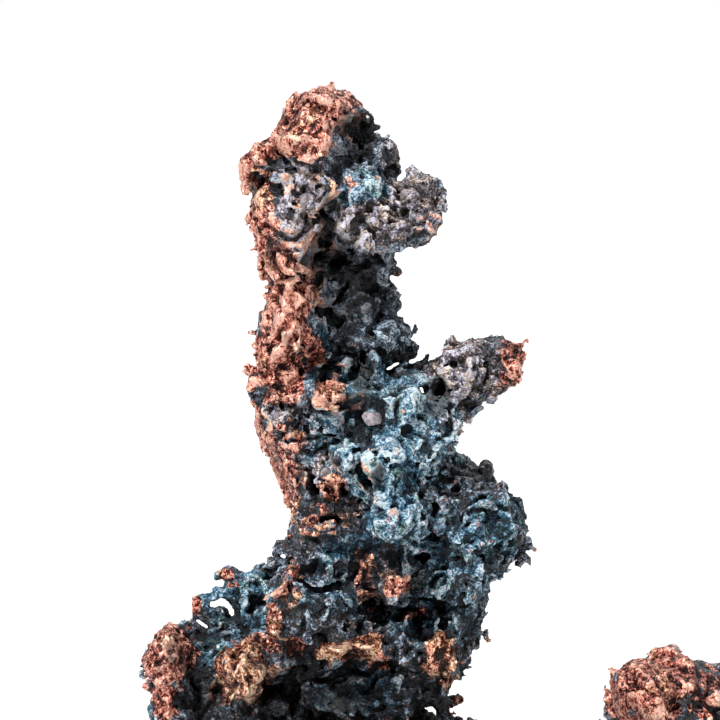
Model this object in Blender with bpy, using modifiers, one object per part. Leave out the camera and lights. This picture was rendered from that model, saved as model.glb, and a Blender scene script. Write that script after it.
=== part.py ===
"""Native copper nugget: a standing, branching lump of copper with quartz grains seated in it.

Units are metres in the scene and millimetres in the tables. +X is right, +Y is back, +Z is up.
The origin is on the flat face that the nugget rests on, under its main stem.
"""

import math
import random

import bmesh
import bpy
from mathutils import Matrix, Vector

MM = 0.001

# Driving dimensions, in millimetres
GRAIN_OF_COPPER = 0.9  # voxel that fuses the lumps into one body
NODULE_SMALL = 1.0  # smallest nodule radius
NODULE_LARGE = 2.4  # largest nodule radius
NODULE_SPACING = 4.6  # mean distance between nodules on a lump
NODULE_SUNK = 0.55  # share of a nodule's radius that is buried
KNOB_SMALL = 2.0  # smallest radius of the knobs on the back and the foot
KNOB_LARGE = 4.2
KNOB_SPACING = 7.0
KNOB_SUNK = 0.5
KNOB_FACING = 0.5  # how squarely a place must face back to carry a knob
FOOT_TOP = 22.0  # height of the foot, which carries knobs all round
PIT_SMALL = 0.8  # smallest pit radius
PIT_LARGE = 1.7  # largest pit radius
PIT_SPACING = 8.5  # mean distance between pits on a lump
NUGGET_TRIANGLES = 8600
SEATING_GAP = 0.32  # between a quartz grain and its socket
CRYSTAL_TIP = 0.75  # height of a crystal's pointed end, as a share of its radius
FLOOR_SIDE = 300.0  # the block that levels the underside
FLOOR_DEPTH = 40.0
SEED = 29

# Lumps that grew together. Name: (centre), (half sizes), lean in degrees, anticlockwise seen from the front
LUMPS = {
    "cap_crest": ((-13.9, -3, 103.8), (4.6, 7.5, 2.7), -4),
    "cap_left_shoulder": ((-18.2, -4, 102.6), (1.6, 5, 1.5), 20),
    "cap_apron": ((-15.9, -8, 100.4), (3.4, 5.5, 3), 10),
    "cap_left_roll": ((-21.5, -6, 99.2), (3.9, 5, 1.3), 27),
    "left_tip": ((-24.5, -4, 96.4), (1.1, 3.5, 2.2), 8),
    "left_slab": ((-19.5, -7, 90.1), (4.4, 5.5, 7.8), 0),
    "left_strip": ((-21.8, -8, 87.9), (1.3, 4, 6.3), -2),
    "slab_knob": ((-19.9, -10, 85.1), (1.6, 3, 1.9), 0),
    "slab_foot": ((-21.4, -6, 82.5), (1.1, 3, 1.8), 0),
    "slab_foot_right": ((-17.2, -8, 84.2), (1.6, 3, 1.6), 0),
    "head_core": ((-13.3, 3, 94.1), (8.6, 10, 9.4), 0),
    "head_middle": ((-10.4, -6, 93.4), (4.8, 7, 4.8), 0),
    "head_shelf": ((-8.1, 0, 98.5), (3.1, 6, 2.3), 10),
    "head_right_knob": ((-2.4, -3, 91.2), (2.6, 6.5, 4.6), -8),
    "head_bridge": ((-5.3, -2, 92.5), (2.8, 6, 3.3), 0),
    "brow_left": ((-11.8, -10, 90.1), (2.5, 4, 2.1), 0),
    "brow_right": ((-9.8, -10, 87.7), (1.7, 3.5, 2), -10),
    "brow_ledge": ((-6.4, -9, 89), (2.8, 4, 2), 0),
    "neck_core": ((-13.8, 3, 79.1), (7.3, 8.5, 8.6), 0),
    "nape_right": ((-7.4, -1, 84.2), (1.5, 5, 2.8), 0),
    "neck_ridge": ((-19.1, -5, 76.6), (3.4, 5.5, 6.6), 4),
    "neck_left_rib": ((-22.4, -1, 73.6), (1.4, 5.5, 4.7), 3),
    "neck_right": ((-8.3, 2, 75.7), (2.4, 6, 5.2), -6),
    "neck_right_foot": ((-5.2, 1, 72.7), (2.2, 4.5, 1.6), 0),
    "neck_right_knot": ((-4.9, 0, 74.7), (1.4, 4, 1.4), 0),
    "neck_apron": ((-8.9, -4, 71.1), (2.1, 4, 3.8), 10),
    "shoulder_core": ((-12.4, 1, 62.8), (12, 13, 8.1), 0),
    "left_bulge": ((-21.1, -3, 68.1), (3.5, 8, 5.2), 0),
    "left_flank": ((-19.3, -4, 60.1), (2.3, 7, 7), 18),
    "shoulder_ledge": ((-14.2, -12, 68.2), (4.3, 4, 2), -8),
    "saddle": ((-7.2, -8, 66.3), (6.3, 7, 4.3), 0),
    "saddle_blue": ((-8.5, -11, 61), (5.8, 6, 4.8), 0),
    "saddle_right": ((-2.2, -6, 62.3), (3.6, 8, 4.6), -20),
    "arm_root": ((-0.6, -3, 67.8), (4.4, 7, 3.4), 0),
    "arm_middle": ((3.5, -3, 70.7), (4.4, 7.5, 4), 8),
    "arm_end": ((6.8, -3, 71.7), (3, 7, 3.3), 4),
    "arm_tip": ((8.5, -4, 71.2), (1.3, 6, 3.3), 6),
    "arm_keel": ((6.2, -4, 67.8), (2.1, 4, 1.2), 12),
    "arm_elbow": ((1.2, -3, 65.6), (2.3, 5.5, 1.9), 0),
    "arm_horn": ((1.4, -3, 73.9), (0.8, 2.2, 0.8), 0),
    "body_core": ((-5.1, 2, 50.6), (14.8, 15, 11.1), -8),
    "body_right": ((6, 2, 49.2), (5.4, 12, 5.8), -6),
    "ledge_end": ((7.7, -3, 46.3), (2.1, 6, 1.6), 20),
    "body_crest": ((2.4, 0, 53.5), (3.7, 8, 2.5), -30),
    "body_left": ((-14.8, -6, 51), (4.2, 9, 6.4), 0),
    "blue_nodule": ((-6.1, -14, 53.9), (3.8, 5, 3.8), 0),
    "diag_ledge_high": ((5.2, -8, 54.4), (4.6, 6, 1.1), 24),
    "diag_ledge_low": ((4.7, -8, 50.5), (5.9, 6.5, 1.5), 24),
    "diag_ledge_foot": ((2.2, -8, 45.5), (5.1, 6.5, 2.1), 26),
    "body_low_right": ((2.2, -1, 39), (3.4, 10, 6.3), 4),
    "front_boss": ((-6.3, -14, 45.2), (2.3, 4, 1.8), 0),
    "front_left": ((-15.8, -9, 41.8), (5.6, 7, 4.3), 0),
    "left_crest": ((-20.1, -9, 42.1), (1.5, 4.5, 6.1), -24),
    "copper_ledge": ((-12.4, -14, 36.8), (4, 4, 1.1), 8),
    "right_boss": ((-0.4, -8, 35), (3.6, 6, 3.3), 0),
    "low_boss": ((-6.8, -12, 37.3), (3, 5, 1.9), 0),
    "body_base": ((-10.4, 3, 32), (13.9, 16, 8), 0),
    "right_spike": ((0.3, -6, 27.2), (1.6, 4, 1), 25),
    "spur_core": ((-28.3, 3, 30.6), (7.5, 10, 5.9), 0),
    "spur_top": ((-23.5, 4, 36.9), (3.5, 7, 5.4), 0),
    "back_wall": ((-19.9, 6, 25.6), (9.5, 10, 7.6), 0),
    "spur_back": ((-32.1, 6, 25.6), (6, 9, 6.2), 0),
    "spur_copper": ((-35.1, -6, 33.1), (3, 6.5, 3.5), -14),
    "spur_left_low": ((-35.7, -5, 27.2), (2.3, 7, 5), 0),
    "spur_gold": ((-25.1, -15, 34.5), (3.8, 5, 3.3), 10),
    "spur_crest": ((-23.4, 5, 40.3), (2.4, 5, 2.7), -10),
    "arch_floor": ((-30, 3, 35.8), (2.4, 4, 1.6), 0),
    "arch_post": ((-32.1, 2, 37.6), (0.7, 2.2, 1.7), 0),
    "arch_joint": ((-27.5, 3, 39.1), (1.2, 2.5, 0.8), -20),
    "arch_beam": ((-30.1, 2, 39.3), (2.5, 2.2, 0.6), 30),
    "spur_hook": ((-27.8, 3, 42), (1.3, 2, 0.8), -30),
    "spur_plate": ((-25.3, 3, 41.1), (1.9, 2.5, 1.7), 0),
    "spur_ridge": ((-20.9, 4, 44), (1.3, 4, 2.9), -24),
    "knob_core": ((31.9, 0, 23.8), (8.5, 12, 7.4), 0),
    "knob_copper": ((25.9, -8, 29.7), (4, 6.5, 4.1), -12),
    "knob_top": ((30.5, -3, 29.6), (3.9, 7, 2.9), 8),
    "knob_right": ((37.8, 2, 22.6), (5.9, 10, 6.7), 0),
    "foot_core": ((-7, 1, 7.7), (25.5, 21, 14.5), 0),
    "foot_left": ((-27.4, -2, 12.9), (11.7, 15, 14.9), 0),
    "foot_right": ((27.9, 1, 8.4), (15, 14.5, 12.3), 0),
    "foot_bridge": ((11, 0, 5.9), (14.7, 16, 7.8), 0),
    "foot_front": ((-15.5, -12, 10.9), (12.9, 12, 8), 0),
    "back_crown": ((-15.4, 8, 101.3), (3.9, 6, 3.4), 18),
    "back_head_lobe": ((-10.9, 11, 95.3), (5.3, 6, 5.1), 12),
    "back_head_low": ((-17.3, 9, 88.3), (4.5, 6, 5.3), -14),
    "back_nape": ((-10.7, 9, 83.5), (3.5, 6, 5.3), 16),
    "back_neck_ridge": ((-16.8, 9, 75.4), (2.9, 5.5, 7.8), -10),
    "back_collar": ((-10.1, 10, 71.2), (5.4, 6, 2.4), 24),
    "back_blade_right": ((-6.1, 10, 64.7), (5.4, 7, 5.9), -24),
    "back_blade_left": ((-19, 9, 65.1), (4.3, 7, 7), 14),
    "back_spine": ((-12.3, 14, 56.9), (2.7, 6, 9), 12),
    "back_waist_left": ((-15.3, 12, 48.9), (3.8, 8, 6.8), -18),
    "back_flank_right": ((1.3, 11, 51.3), (5.4, 8, 4.6), 22),
    "back_boss": ((-5.1, 17, 41.6), (6.1, 6, 5), 26),
    "back_hip_left": ((-17, 14, 36.7), (4.7, 8, 6.9), -22),
    "back_hip_right": ((-0.8, 12, 34.9), (4.7, 8, 6.9), 14),
    "back_root": ((-11.5, 18, 24.7), (7.6, 7, 5.6), -8),
    "back_spur": ((-28.5, 11, 27.3), (6, 6, 4.1), -24),
    "back_knob": ((33, 10, 22.2), (6, 6, 4.9), 16),
    "back_foot_left": ((-24.3, 18, 9), (7.4, 7, 9.1), -20),
    "back_foot_middle": ((-0.7, 19, 7.8), (8.8, 7, 7.4), 18),
    "back_foot_right": ((22, 13, 6), (8.4, 7, 6.7), -12),
    "foot_toe_left": ((-34.2, -10, 10.5), (5.7, 8, 6.2), 10),
    "foot_toe_middle": ((-5.9, -18, 12.8), (8.1, 8, 5.5), -6),
    "foot_toe_right": ((32.2, -9, 9.1), (7.8, 8, 6), 8),
    "foot_instep": ((4.5, -12, 18.1), (6.4, 8, 5.6), 20),
}

# Hollows between the lumps, in the same form
HOLLOWS = {
    "under_brow": ((-11.4, -12, 84.8), (5, 7, 3), -8),
    "neck_pocket": ((-10.2, -12, 71.7), (2, 4.5, 2.5), 0),
    "ledge_pocket": ((-15.4, -12, 71.8), (2, 4, 1.1), 0),
    "elbow_pocket": ((-0.7, -11, 68.5), (1.6, 5.5, 2.5), 0),
    "slab_hollow": ((-17.4, -14, 91.5), (2.5, 3, 3.4), 0),
    "head_cleft": ((-14.5, -13, 88.3), (1, 6, 4.2), 0),
    "cap_pocket": ((-11.4, -10, 99), (2, 5, 1.5), 0),
    "front_cavern": ((-13.5, -19, 32.2), (9.7, 13, 4.7), 0),
    "spur_hollow": ((-29.8, -13, 31.1), (2.3, 7, 3.8), 0),
    "blue_pocket": ((-8.3, -15, 58.6), (0.9, 4, 2.2), -14),
    "diag_cleft": ((-3.1, -14, 46.9), (0.8, 5, 4.5), -26),
    "low_cleft": ((-0.1, -11, 41.4), (0.8, 5, 4.3), -62),
    "spur_saddle": ((-29, -8, 40), (3.6, 9, 2.3), 0),
    "arch_opening": ((-29, 4, 37.9), (1.2, 16, 1.1), -20),
    "back_notch_neck": ((-13.1, 17, 79.1), (4.7, 6, 1.6), 10),
    "back_cleft_high": ((-14.5, 17, 93.1), (1.2, 6, 6), -16),
    "back_cleft_shoulder": ((-12.6, 18, 63.7), (1.4, 7, 5), 20),
    "back_cavern": ((-9.3, 22, 46.8), (3.7, 8, 2.8), 14),
    "back_cleft_low": ((-8.4, 22, 31.2), (1.7, 8, 6.5), -20),
    "back_gully": ((-13.6, 26, 9.4), (2.3, 9, 8.7), 12),
    "back_gully_right": ((12.3, 18, 7.5), (3.4, 8, 5.7), -14),
    "front_gully": ((14.9, -16, 17.6), (2.8, 8, 5.6), 12),
    "front_gully_left": ((-22.6, -20, 22.9), (2.5, 8, 6.2), -10),
}

# Quartz grains. Name: (centre), radius across the corners, length, (lean back, turn) in degrees
QUARTZ_GRAINS = {
    "quartz_grain_shoulder": ((-14.7, -9.6, 58.4), 1.5, 3.8, (70, 20)),
    "quartz_grain_saddle": ((-9, -14.3, 66.2), 1.1, 2.7, (60, -25)),
    "quartz_grain_left": ((-20.6, -9.2, 65.3), 1.1, 2.8, (75, -35)),
    "quartz_grain_ledge": ((-13.3, -13.4, 66.1), 0.9, 2.2, (55, 10)),
    "quartz_grain_body": ((-0.2, -11.6, 51.9), 1, 2.5, (65, 30)),
    "quartz_grain_slab": ((-17, -10.7, 92.7), 1, 2.5, (20, 15)),
    "quartz_grain_head": ((-4, -7.4, 93.2), 1.2, 3, (80, 50)),
    "quartz_grain_crest": ((6.3, 0.8, 56.9), 1, 2.6, (15, -30)),
}


def clear_scene():
    for obj in list(bpy.data.objects):
        bpy.data.objects.remove(obj, do_unlink=True)


def make_collection(name):
    collection = bpy.data.collections.new(name)
    bpy.context.scene.collection.children.link(collection)
    return collection


def make_material(name, colour, metallic, roughness):
    material = bpy.data.materials.new(name)
    material.use_nodes = True
    shader = material.node_tree.nodes["Principled BSDF"]
    shader.inputs["Base Color"].default_value = (*colour, 1.0)
    shader.inputs["Metallic"].default_value = metallic
    shader.inputs["Roughness"].default_value = roughness
    return material


def lump_matrix(centre, half_sizes, lean):
    place = Matrix.Translation(Vector(centre) * MM)
    turn = Matrix.Rotation(math.radians(-lean), 4, "Y")
    size = Matrix.Diagonal((*(Vector(half_sizes) * MM), 1.0))
    return place @ turn @ size


def ellipsoid_area(half_sizes):
    """Knud Thomsen's formula: four pi times the power mean of the paired products."""
    a, b, c = half_sizes
    power = 1.6
    mean = ((a * b) ** power + (a * c) ** power + (b * c) ** power) / 3
    return 4 * math.pi * mean ** (1 / power)


def add_ball(bm, matrix, subdivisions):
    bmesh.ops.create_icosphere(bm, subdivisions=subdivisions, radius=1.0, matrix=matrix)


def scatter_balls(bm, lumps, chance, spacing, small, large, sunk, facing=-1.0):
    """Balls centred just under each lump's surface, one for each spacing squared of its area.

    Above the foot, only the places that face back at least as much as facing carry a ball.
    """
    for centre, half_sizes, lean in lumps.values():
        matrix = lump_matrix(centre, half_sizes, lean)
        count = round(ellipsoid_area(half_sizes) / spacing**2)
        for _ in range(count):
            height = chance.uniform(-1.0, 1.0)
            turn = chance.uniform(0.0, 2 * math.pi)
            ring = math.sqrt(1 - height**2)
            surface = Vector((ring * math.cos(turn), ring * math.sin(turn), height))
            radius = small + (large - small) * chance.random() ** 2
            if surface.y < facing and centre[2] > FOOT_TOP:
                continue
            inward = 1 - sunk * radius / max(half_sizes)
            place = Matrix.Translation(matrix @ (surface * inward))
            add_ball(bm, place @ Matrix.Scale(radius * MM, 4), 1)


def mesh_object(name, bm, collection):
    mesh = bpy.data.meshes.new(name)
    bm.to_mesh(mesh)
    bm.free()
    obj = bpy.data.objects.new(name, mesh)
    collection.objects.link(obj)
    return obj


def as_cutter(obj):
    obj.hide_render = True
    obj.display_type = "WIRE"
    return obj


def fuse(obj, voxel):
    """Voxel Remesh joins everything in the mesh into one closed skin."""
    remesh = obj.modifiers.new("fuse", "REMESH")
    remesh.mode = "VOXEL"
    remesh.voxel_size = voxel * MM
    return remesh


def cut(obj, cutter):
    boolean = obj.modifiers.new("cut " + cutter.name, "BOOLEAN")
    boolean.operation = "DIFFERENCE"
    boolean.solver = "EXACT"
    boolean.object = cutter
    return boolean


def apply_modifiers(obj):
    bpy.context.view_layer.update()
    graph = bpy.context.evaluated_depsgraph_get()
    mesh = bpy.data.meshes.new_from_object(obj.evaluated_get(graph))
    obj.modifiers.clear()
    obj.data = mesh


def keep_main_body(obj):
    """Deletes the loose crumbs that the hollows left, so that one body stays."""
    bm = bmesh.new()
    bm.from_mesh(obj.data)
    unseen = set(bm.verts)
    bodies = []
    while unseen:
        body = [unseen.pop()]
        for vert in body:
            near = [edge.other_vert(vert) for edge in vert.link_edges]
            fresh = [other for other in near if other in unseen]
            unseen.difference_update(fresh)
            body.extend(fresh)
        bodies.append(body)
    bodies.sort(key=len)
    for body in bodies[:-1]:
        bmesh.ops.delete(bm, geom=body, context="VERTS")
    bm.to_mesh(obj.data)
    bm.free()


def build_hollows(collection):
    """The hollows and pits, fused into one clean cutter."""
    chance = random.Random(SEED + 1)
    bm = bmesh.new()
    for centre, half_sizes, lean in HOLLOWS.values():
        add_ball(bm, lump_matrix(centre, half_sizes, lean), 3)
    scatter_balls(bm, LUMPS, chance, PIT_SPACING, PIT_SMALL, PIT_LARGE, 0.0)
    hollows = as_cutter(mesh_object("hollows", bm, collection))
    fuse(hollows, GRAIN_OF_COPPER)
    return hollows


def build_floor_block(collection):
    """Everything below the floor, which leaves the resting faces flat and level."""
    bm = bmesh.new()
    side, depth = FLOOR_SIDE * MM, FLOOR_DEPTH * MM
    bmesh.ops.create_cube(bm, size=1.0, matrix=Matrix.Diagonal((side, side, depth, 1.0)))
    bmesh.ops.translate(bm, verts=bm.verts, vec=(0, 0, -depth / 2))
    return as_cutter(mesh_object("floor_block", bm, collection))


def crystal(name, placing, grown, collection):
    """A six-sided quartz crystal with a point at each end, its faces moved out by the grown distance."""
    centre, radius, length, (lean, turn) = placing
    apothem = radius * math.cos(math.pi / 6)
    steepness = CRYSTAL_TIP * radius / apothem
    tip = length / 2 + grown * math.hypot(1.0, steepness)
    ring_height = tip - steepness * (apothem + grown)
    ring_radius = (apothem + grown) / math.cos(math.pi / 6)
    corners = [Vector((0, 0, -tip)), Vector((0, 0, tip))]
    for height in (-ring_height, ring_height):
        for step in range(6):
            angle = step * math.pi / 3
            corners.append(Vector((ring_radius * math.cos(angle), ring_radius * math.sin(angle), height)))
    turned = Matrix.Rotation(math.radians(turn), 4, "Z") @ Matrix.Rotation(math.radians(lean), 4, "X")
    place = Matrix.Translation(Vector(centre) * MM) @ turned @ Matrix.Scale(MM, 4)
    bm = bmesh.new()
    for corner in corners:
        bm.verts.new(place @ corner)
    bmesh.ops.convex_hull(bm, input=bm.verts)
    return mesh_object(name, bm, collection)


def build_nugget(collection, cutters):
    chance = random.Random(SEED)
    bm = bmesh.new()
    for centre, half_sizes, lean in LUMPS.values():
        add_ball(bm, lump_matrix(centre, half_sizes, lean), 3)
    scatter_balls(bm, LUMPS, chance, NODULE_SPACING, NODULE_SMALL, NODULE_LARGE, NODULE_SUNK)
    scatter_balls(bm, LUMPS, chance, KNOB_SPACING, KNOB_SMALL, KNOB_LARGE, KNOB_SUNK, KNOB_FACING)
    nugget = mesh_object("copper_nugget", bm, collection)
    fuse(nugget, GRAIN_OF_COPPER)
    cut(nugget, build_hollows(cutters))
    fuse(nugget, GRAIN_OF_COPPER)
    apply_modifiers(nugget)
    keep_main_body(nugget)
    thin = nugget.modifiers.new("thin", "DECIMATE")
    thin.use_collapse_triangulate = True
    thin.ratio = NUGGET_TRIANGLES / (2 * len(nugget.data.polygons))
    cut(nugget, build_floor_block(cutters))
    apply_modifiers(nugget)
    for name, placing in QUARTZ_GRAINS.items():
        cut(nugget, as_cutter(crystal("socket_" + name, placing, SEATING_GAP, cutters)))
    apply_modifiers(nugget)
    keep_main_body(nugget)
    nugget.data.materials.clear()
    nugget.data.materials.append(make_material("copper", (0.35, 0.17, 0.11), 1.0, 0.45))
    return nugget


def main():
    clear_scene()
    parts = make_collection("native_copper_nugget")
    cutters = make_collection("cutters")
    build_nugget(parts, cutters)
    quartz = make_material("milky quartz", (0.75, 0.78, 0.82), 0.0, 0.25)
    for name, placing in QUARTZ_GRAINS.items():
        crystal(name, placing, 0.0, parts).data.materials.append(quartz)


main()
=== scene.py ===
import itertools
import math

import bmesh
import bpy
import numpy as np
import openvdb as vdb
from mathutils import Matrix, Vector


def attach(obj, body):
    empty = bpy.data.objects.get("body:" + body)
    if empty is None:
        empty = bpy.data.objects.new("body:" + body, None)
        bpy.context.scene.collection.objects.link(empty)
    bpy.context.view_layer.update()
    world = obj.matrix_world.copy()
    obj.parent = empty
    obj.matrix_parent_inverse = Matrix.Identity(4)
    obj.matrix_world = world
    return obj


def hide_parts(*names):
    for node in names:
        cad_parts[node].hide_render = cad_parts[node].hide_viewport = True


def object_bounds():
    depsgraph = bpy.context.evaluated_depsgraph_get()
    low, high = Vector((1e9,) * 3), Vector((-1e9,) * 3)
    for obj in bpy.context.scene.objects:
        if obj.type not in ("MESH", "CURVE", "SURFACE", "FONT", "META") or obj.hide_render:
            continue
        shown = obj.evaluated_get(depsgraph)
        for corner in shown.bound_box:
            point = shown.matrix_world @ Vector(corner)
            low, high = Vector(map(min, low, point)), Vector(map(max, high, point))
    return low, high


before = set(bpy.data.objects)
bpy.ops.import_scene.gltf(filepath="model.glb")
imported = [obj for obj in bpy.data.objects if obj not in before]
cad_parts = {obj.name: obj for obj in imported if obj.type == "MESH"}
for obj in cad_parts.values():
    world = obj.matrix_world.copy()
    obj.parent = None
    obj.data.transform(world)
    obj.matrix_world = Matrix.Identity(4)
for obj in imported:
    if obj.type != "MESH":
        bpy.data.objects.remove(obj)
cadBox = [list(corner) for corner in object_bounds()]
print("frame loaded")

millimetre = 0.001  # in metres: the tables and fields below are in millimetres

# the camera, which the front's forms and patches are also placed through
camera = {"target": (-10.4, 0.0, 71.55), "distance": 300.0, "elevation": 8.0, "frameWidth": 93.6}
cameraLift = math.radians(camera["elevation"])
targetX, targetY, targetZ = camera["target"]

# the grid of distances that the nugget's skin is drawn from; fine noise sums two lattices of these shares
grid = {
    "voxel": 0.3, "margin": 3.6, "coarse": 2, "reach": 12, "maskStep": 6, "lap": 2,
    "fineNoise": 1.5, "fineShares": (1.18, 0.81), "measured": 5, "softBlur": 2, "wideBlur": 5,
}

# one seed for each random field
seeds = {
    "swell": 11, "clumps": 12, "grains": 18, "foilSwell": 21, "foilRidge": 22, "foilWrinkle": 23, "pores": 24,
    "foilLump": 25, "wobbleA": 31, "wobbleB": 32, "bendAcross": 33, "bendUp": 34, "joints": 41, "drift": 51,
    "quartz": 60, "threadA": 61, "threadB": 62, "crags": 71,
}

quartzNames = sorted(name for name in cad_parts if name.startswith("quartz_grain"))
voxel = grid["voxel"]
coarseVoxel = voxel * grid["coarse"]
lowCorner = np.floor((np.array(cadBox[0]) / millimetre - grid["margin"]) / coarseVoxel) * coarseVoxel
highCorner = np.ceil((np.array(cadBox[1]) / millimetre + grid["margin"]) / coarseVoxel) * coarseVoxel
counts = np.round((highCorner - lowCorner) / voxel).astype(int) + 1
axes = [lowCorner[a] + voxel * np.arange(counts[a]) for a in range(3)]


def splineMatrix(places, start, step, count):
    # cubic B-spline weights that carry lattice values to the given places along one axis
    t = (places - start) / step
    cell = np.floor(t).astype(int)
    f = t - cell
    weights = ((1 - f) ** 3, 3 * f**3 - 6 * f**2 + 4, -3 * f**3 + 3 * f**2 + 3 * f + 1, f**3)
    matrix = np.zeros((len(places), count), np.float32)
    rows = np.arange(len(places))
    for offset, weight in enumerate(weights):
        matrix[rows, np.clip(cell - 1 + offset, 0, count - 1)] += (weight / 6).astype(np.float32)
    return matrix


def spread(values, matrices):
    # carries lattice values to the whole grid, one axis at a time
    out = np.tensordot(matrices[0], values, (1, 0))
    out = np.matmul(matrices[1], out)
    return np.matmul(out, matrices[2].T)


def noise(spacing, seed, upright=1.0):
    # smooth random values with a spread of one, at the given lattice spacing, drawn out upright by a factor;
    # fine noise sums two lattices, so that neither shows
    chance = np.random.default_rng(seed)
    total = 0
    for share in (grid["fineShares"] if spacing < grid["fineNoise"] else (1.0,)):
        matrices = []
        for axis, stretch in enumerate((1.0, 1.0, upright)):
            step = spacing * share * stretch
            start = lowCorner[axis] - step * (1 + chance.random())
            count = int((highCorner[axis] - start) / step) + 5
            matrices.append(splineMatrix(axes[axis], start, step, count))
        values = chance.standard_normal([m.shape[1] for m in matrices]).astype(np.float32)
        total = total + spread(values, matrices)
    some = slice(None, None, grid["measured"])
    total *= 1 / total[some, some, some].std()
    return total


def cadField():
    # signed distance to the CAD nugget, positive outside, eased over its flat facets
    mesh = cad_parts["copper_nugget"].data
    points = np.empty(len(mesh.vertices) * 3, np.float32)
    mesh.vertices.foreach_get("co", points)
    mesh.calc_loop_triangles()
    triangles = np.empty(len(mesh.loop_triangles) * 3, np.int32)
    mesh.loop_triangles.foreach_get("vertices", triangles)
    level = vdb.FloatGrid.createLevelSetFromPolygons(
        points.reshape(-1, 3) / millimetre, triangles=triangles.reshape(-1, 3).astype(np.uint32),
        transform=vdb.createLinearTransform(voxelSize=coarseVoxel), halfWidth=grid["reach"])
    coarseCounts = np.round((highCorner - lowCorner) / coarseVoxel).astype(int) + 1
    values = np.empty(coarseCounts, np.float32)
    level.copyToArray(values, ijk=[int(i) for i in np.round(lowCorner / coarseVoxel)])
    matrices = [splineMatrix(axes[a], lowCorner[a], coarseVoxel, coarseCounts[a]) for a in range(3)]
    return spread(values, matrices)


def boxPart(low, high):
    # the part of the grid between two corners
    return tuple(slice(*np.searchsorted(axes[a], (low[a], high[a]))) for a in range(3))


def gridPlaces(alongX, alongY, alongZ):
    # the place of each crossing of three rows of values
    return np.stack(np.meshgrid(alongX, alongY, alongZ, indexing="ij"), -1)


def partPlaces(part):
    # the place of each voxel in a part of the grid
    return gridPlaces(*[axes[a][part[a]] for a in range(3)])


def frontView(points):
    # where points appear from the camera, in millimetres from the view's centre at the target's distance
    ahead = np.array((0.0, math.cos(cameraLift), -math.sin(cameraLift)))
    up = np.array((0.0, math.sin(cameraLift), math.cos(cameraLift)))
    rel = points - np.array(camera["target"])
    scale = camera["distance"] / (camera["distance"] + rel @ ahead)
    return rel[..., 0] * scale, (rel @ up) * scale


def smoothStep(share):
    # a share that eases in and out: three times its square less twice its cube
    return share * share * (3 - 2 * share)


def blurred(field, radius):
    # box blur along each axis: high over bumps, low in creases
    out = field
    width = 2 * radius + 1
    for axis in range(3):
        total = np.cumsum(out, axis=axis, dtype=np.float32)
        size = out.shape[axis]
        first = np.clip(np.arange(size) - radius - 1, 0, size - 1)
        last = np.clip(np.arange(size) + radius, 0, size - 1)
        out = (np.take(total, last, axis) - np.take(total, first, axis)) / width
    return out


def sample(field, points):
    # the field's value at each point, between the eight voxels round it
    t = (points - lowCorner) / voxel
    cell = np.clip(np.floor(t).astype(int), 0, np.array(field.shape) - 2)
    f = (t - cell).astype(np.float32)
    flat = field.ravel()
    strides = (field.shape[1] * field.shape[2], field.shape[2], 1)
    base = cell @ strides
    out = np.zeros(len(points), np.float32)
    for corner in itertools.product((0, 1), repeat=3):
        x, y, z = (f[:, a] if corner[a] else 1 - f[:, a] for a in range(3))
        out += x * y * z * flat[base + np.dot(corner, strides)]
    return out


# the noise that makes rims ragged, broad and fine, and the one that bends the forms: how far, and its spacing
bend = {"broad": 1.3, "fine": 0.6, "amount": 1.2, "spacing": 2.4}
wobbleA = noise(bend["broad"], seeds["wobbleA"])
wobbleB = noise(bend["fine"], seeds["wobbleB"])
bendAcross = bend["amount"] * noise(bend["spacing"], seeds["bendAcross"])
bendUp = bend["amount"] * noise(bend["spacing"], seeds["bendUp"])

# how a form meets the skin: which skin faces the front, its ragged rim, and how deep forms reach into the piece
forming = {
    "margin": 1.5, "aside": 2, "above": 6, "facing": (0.15, 1.4), "ragged": 0.28, "rim": (1.1, 0.75),
    "depth": 9.0, "depthFade": 4,
}
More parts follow.
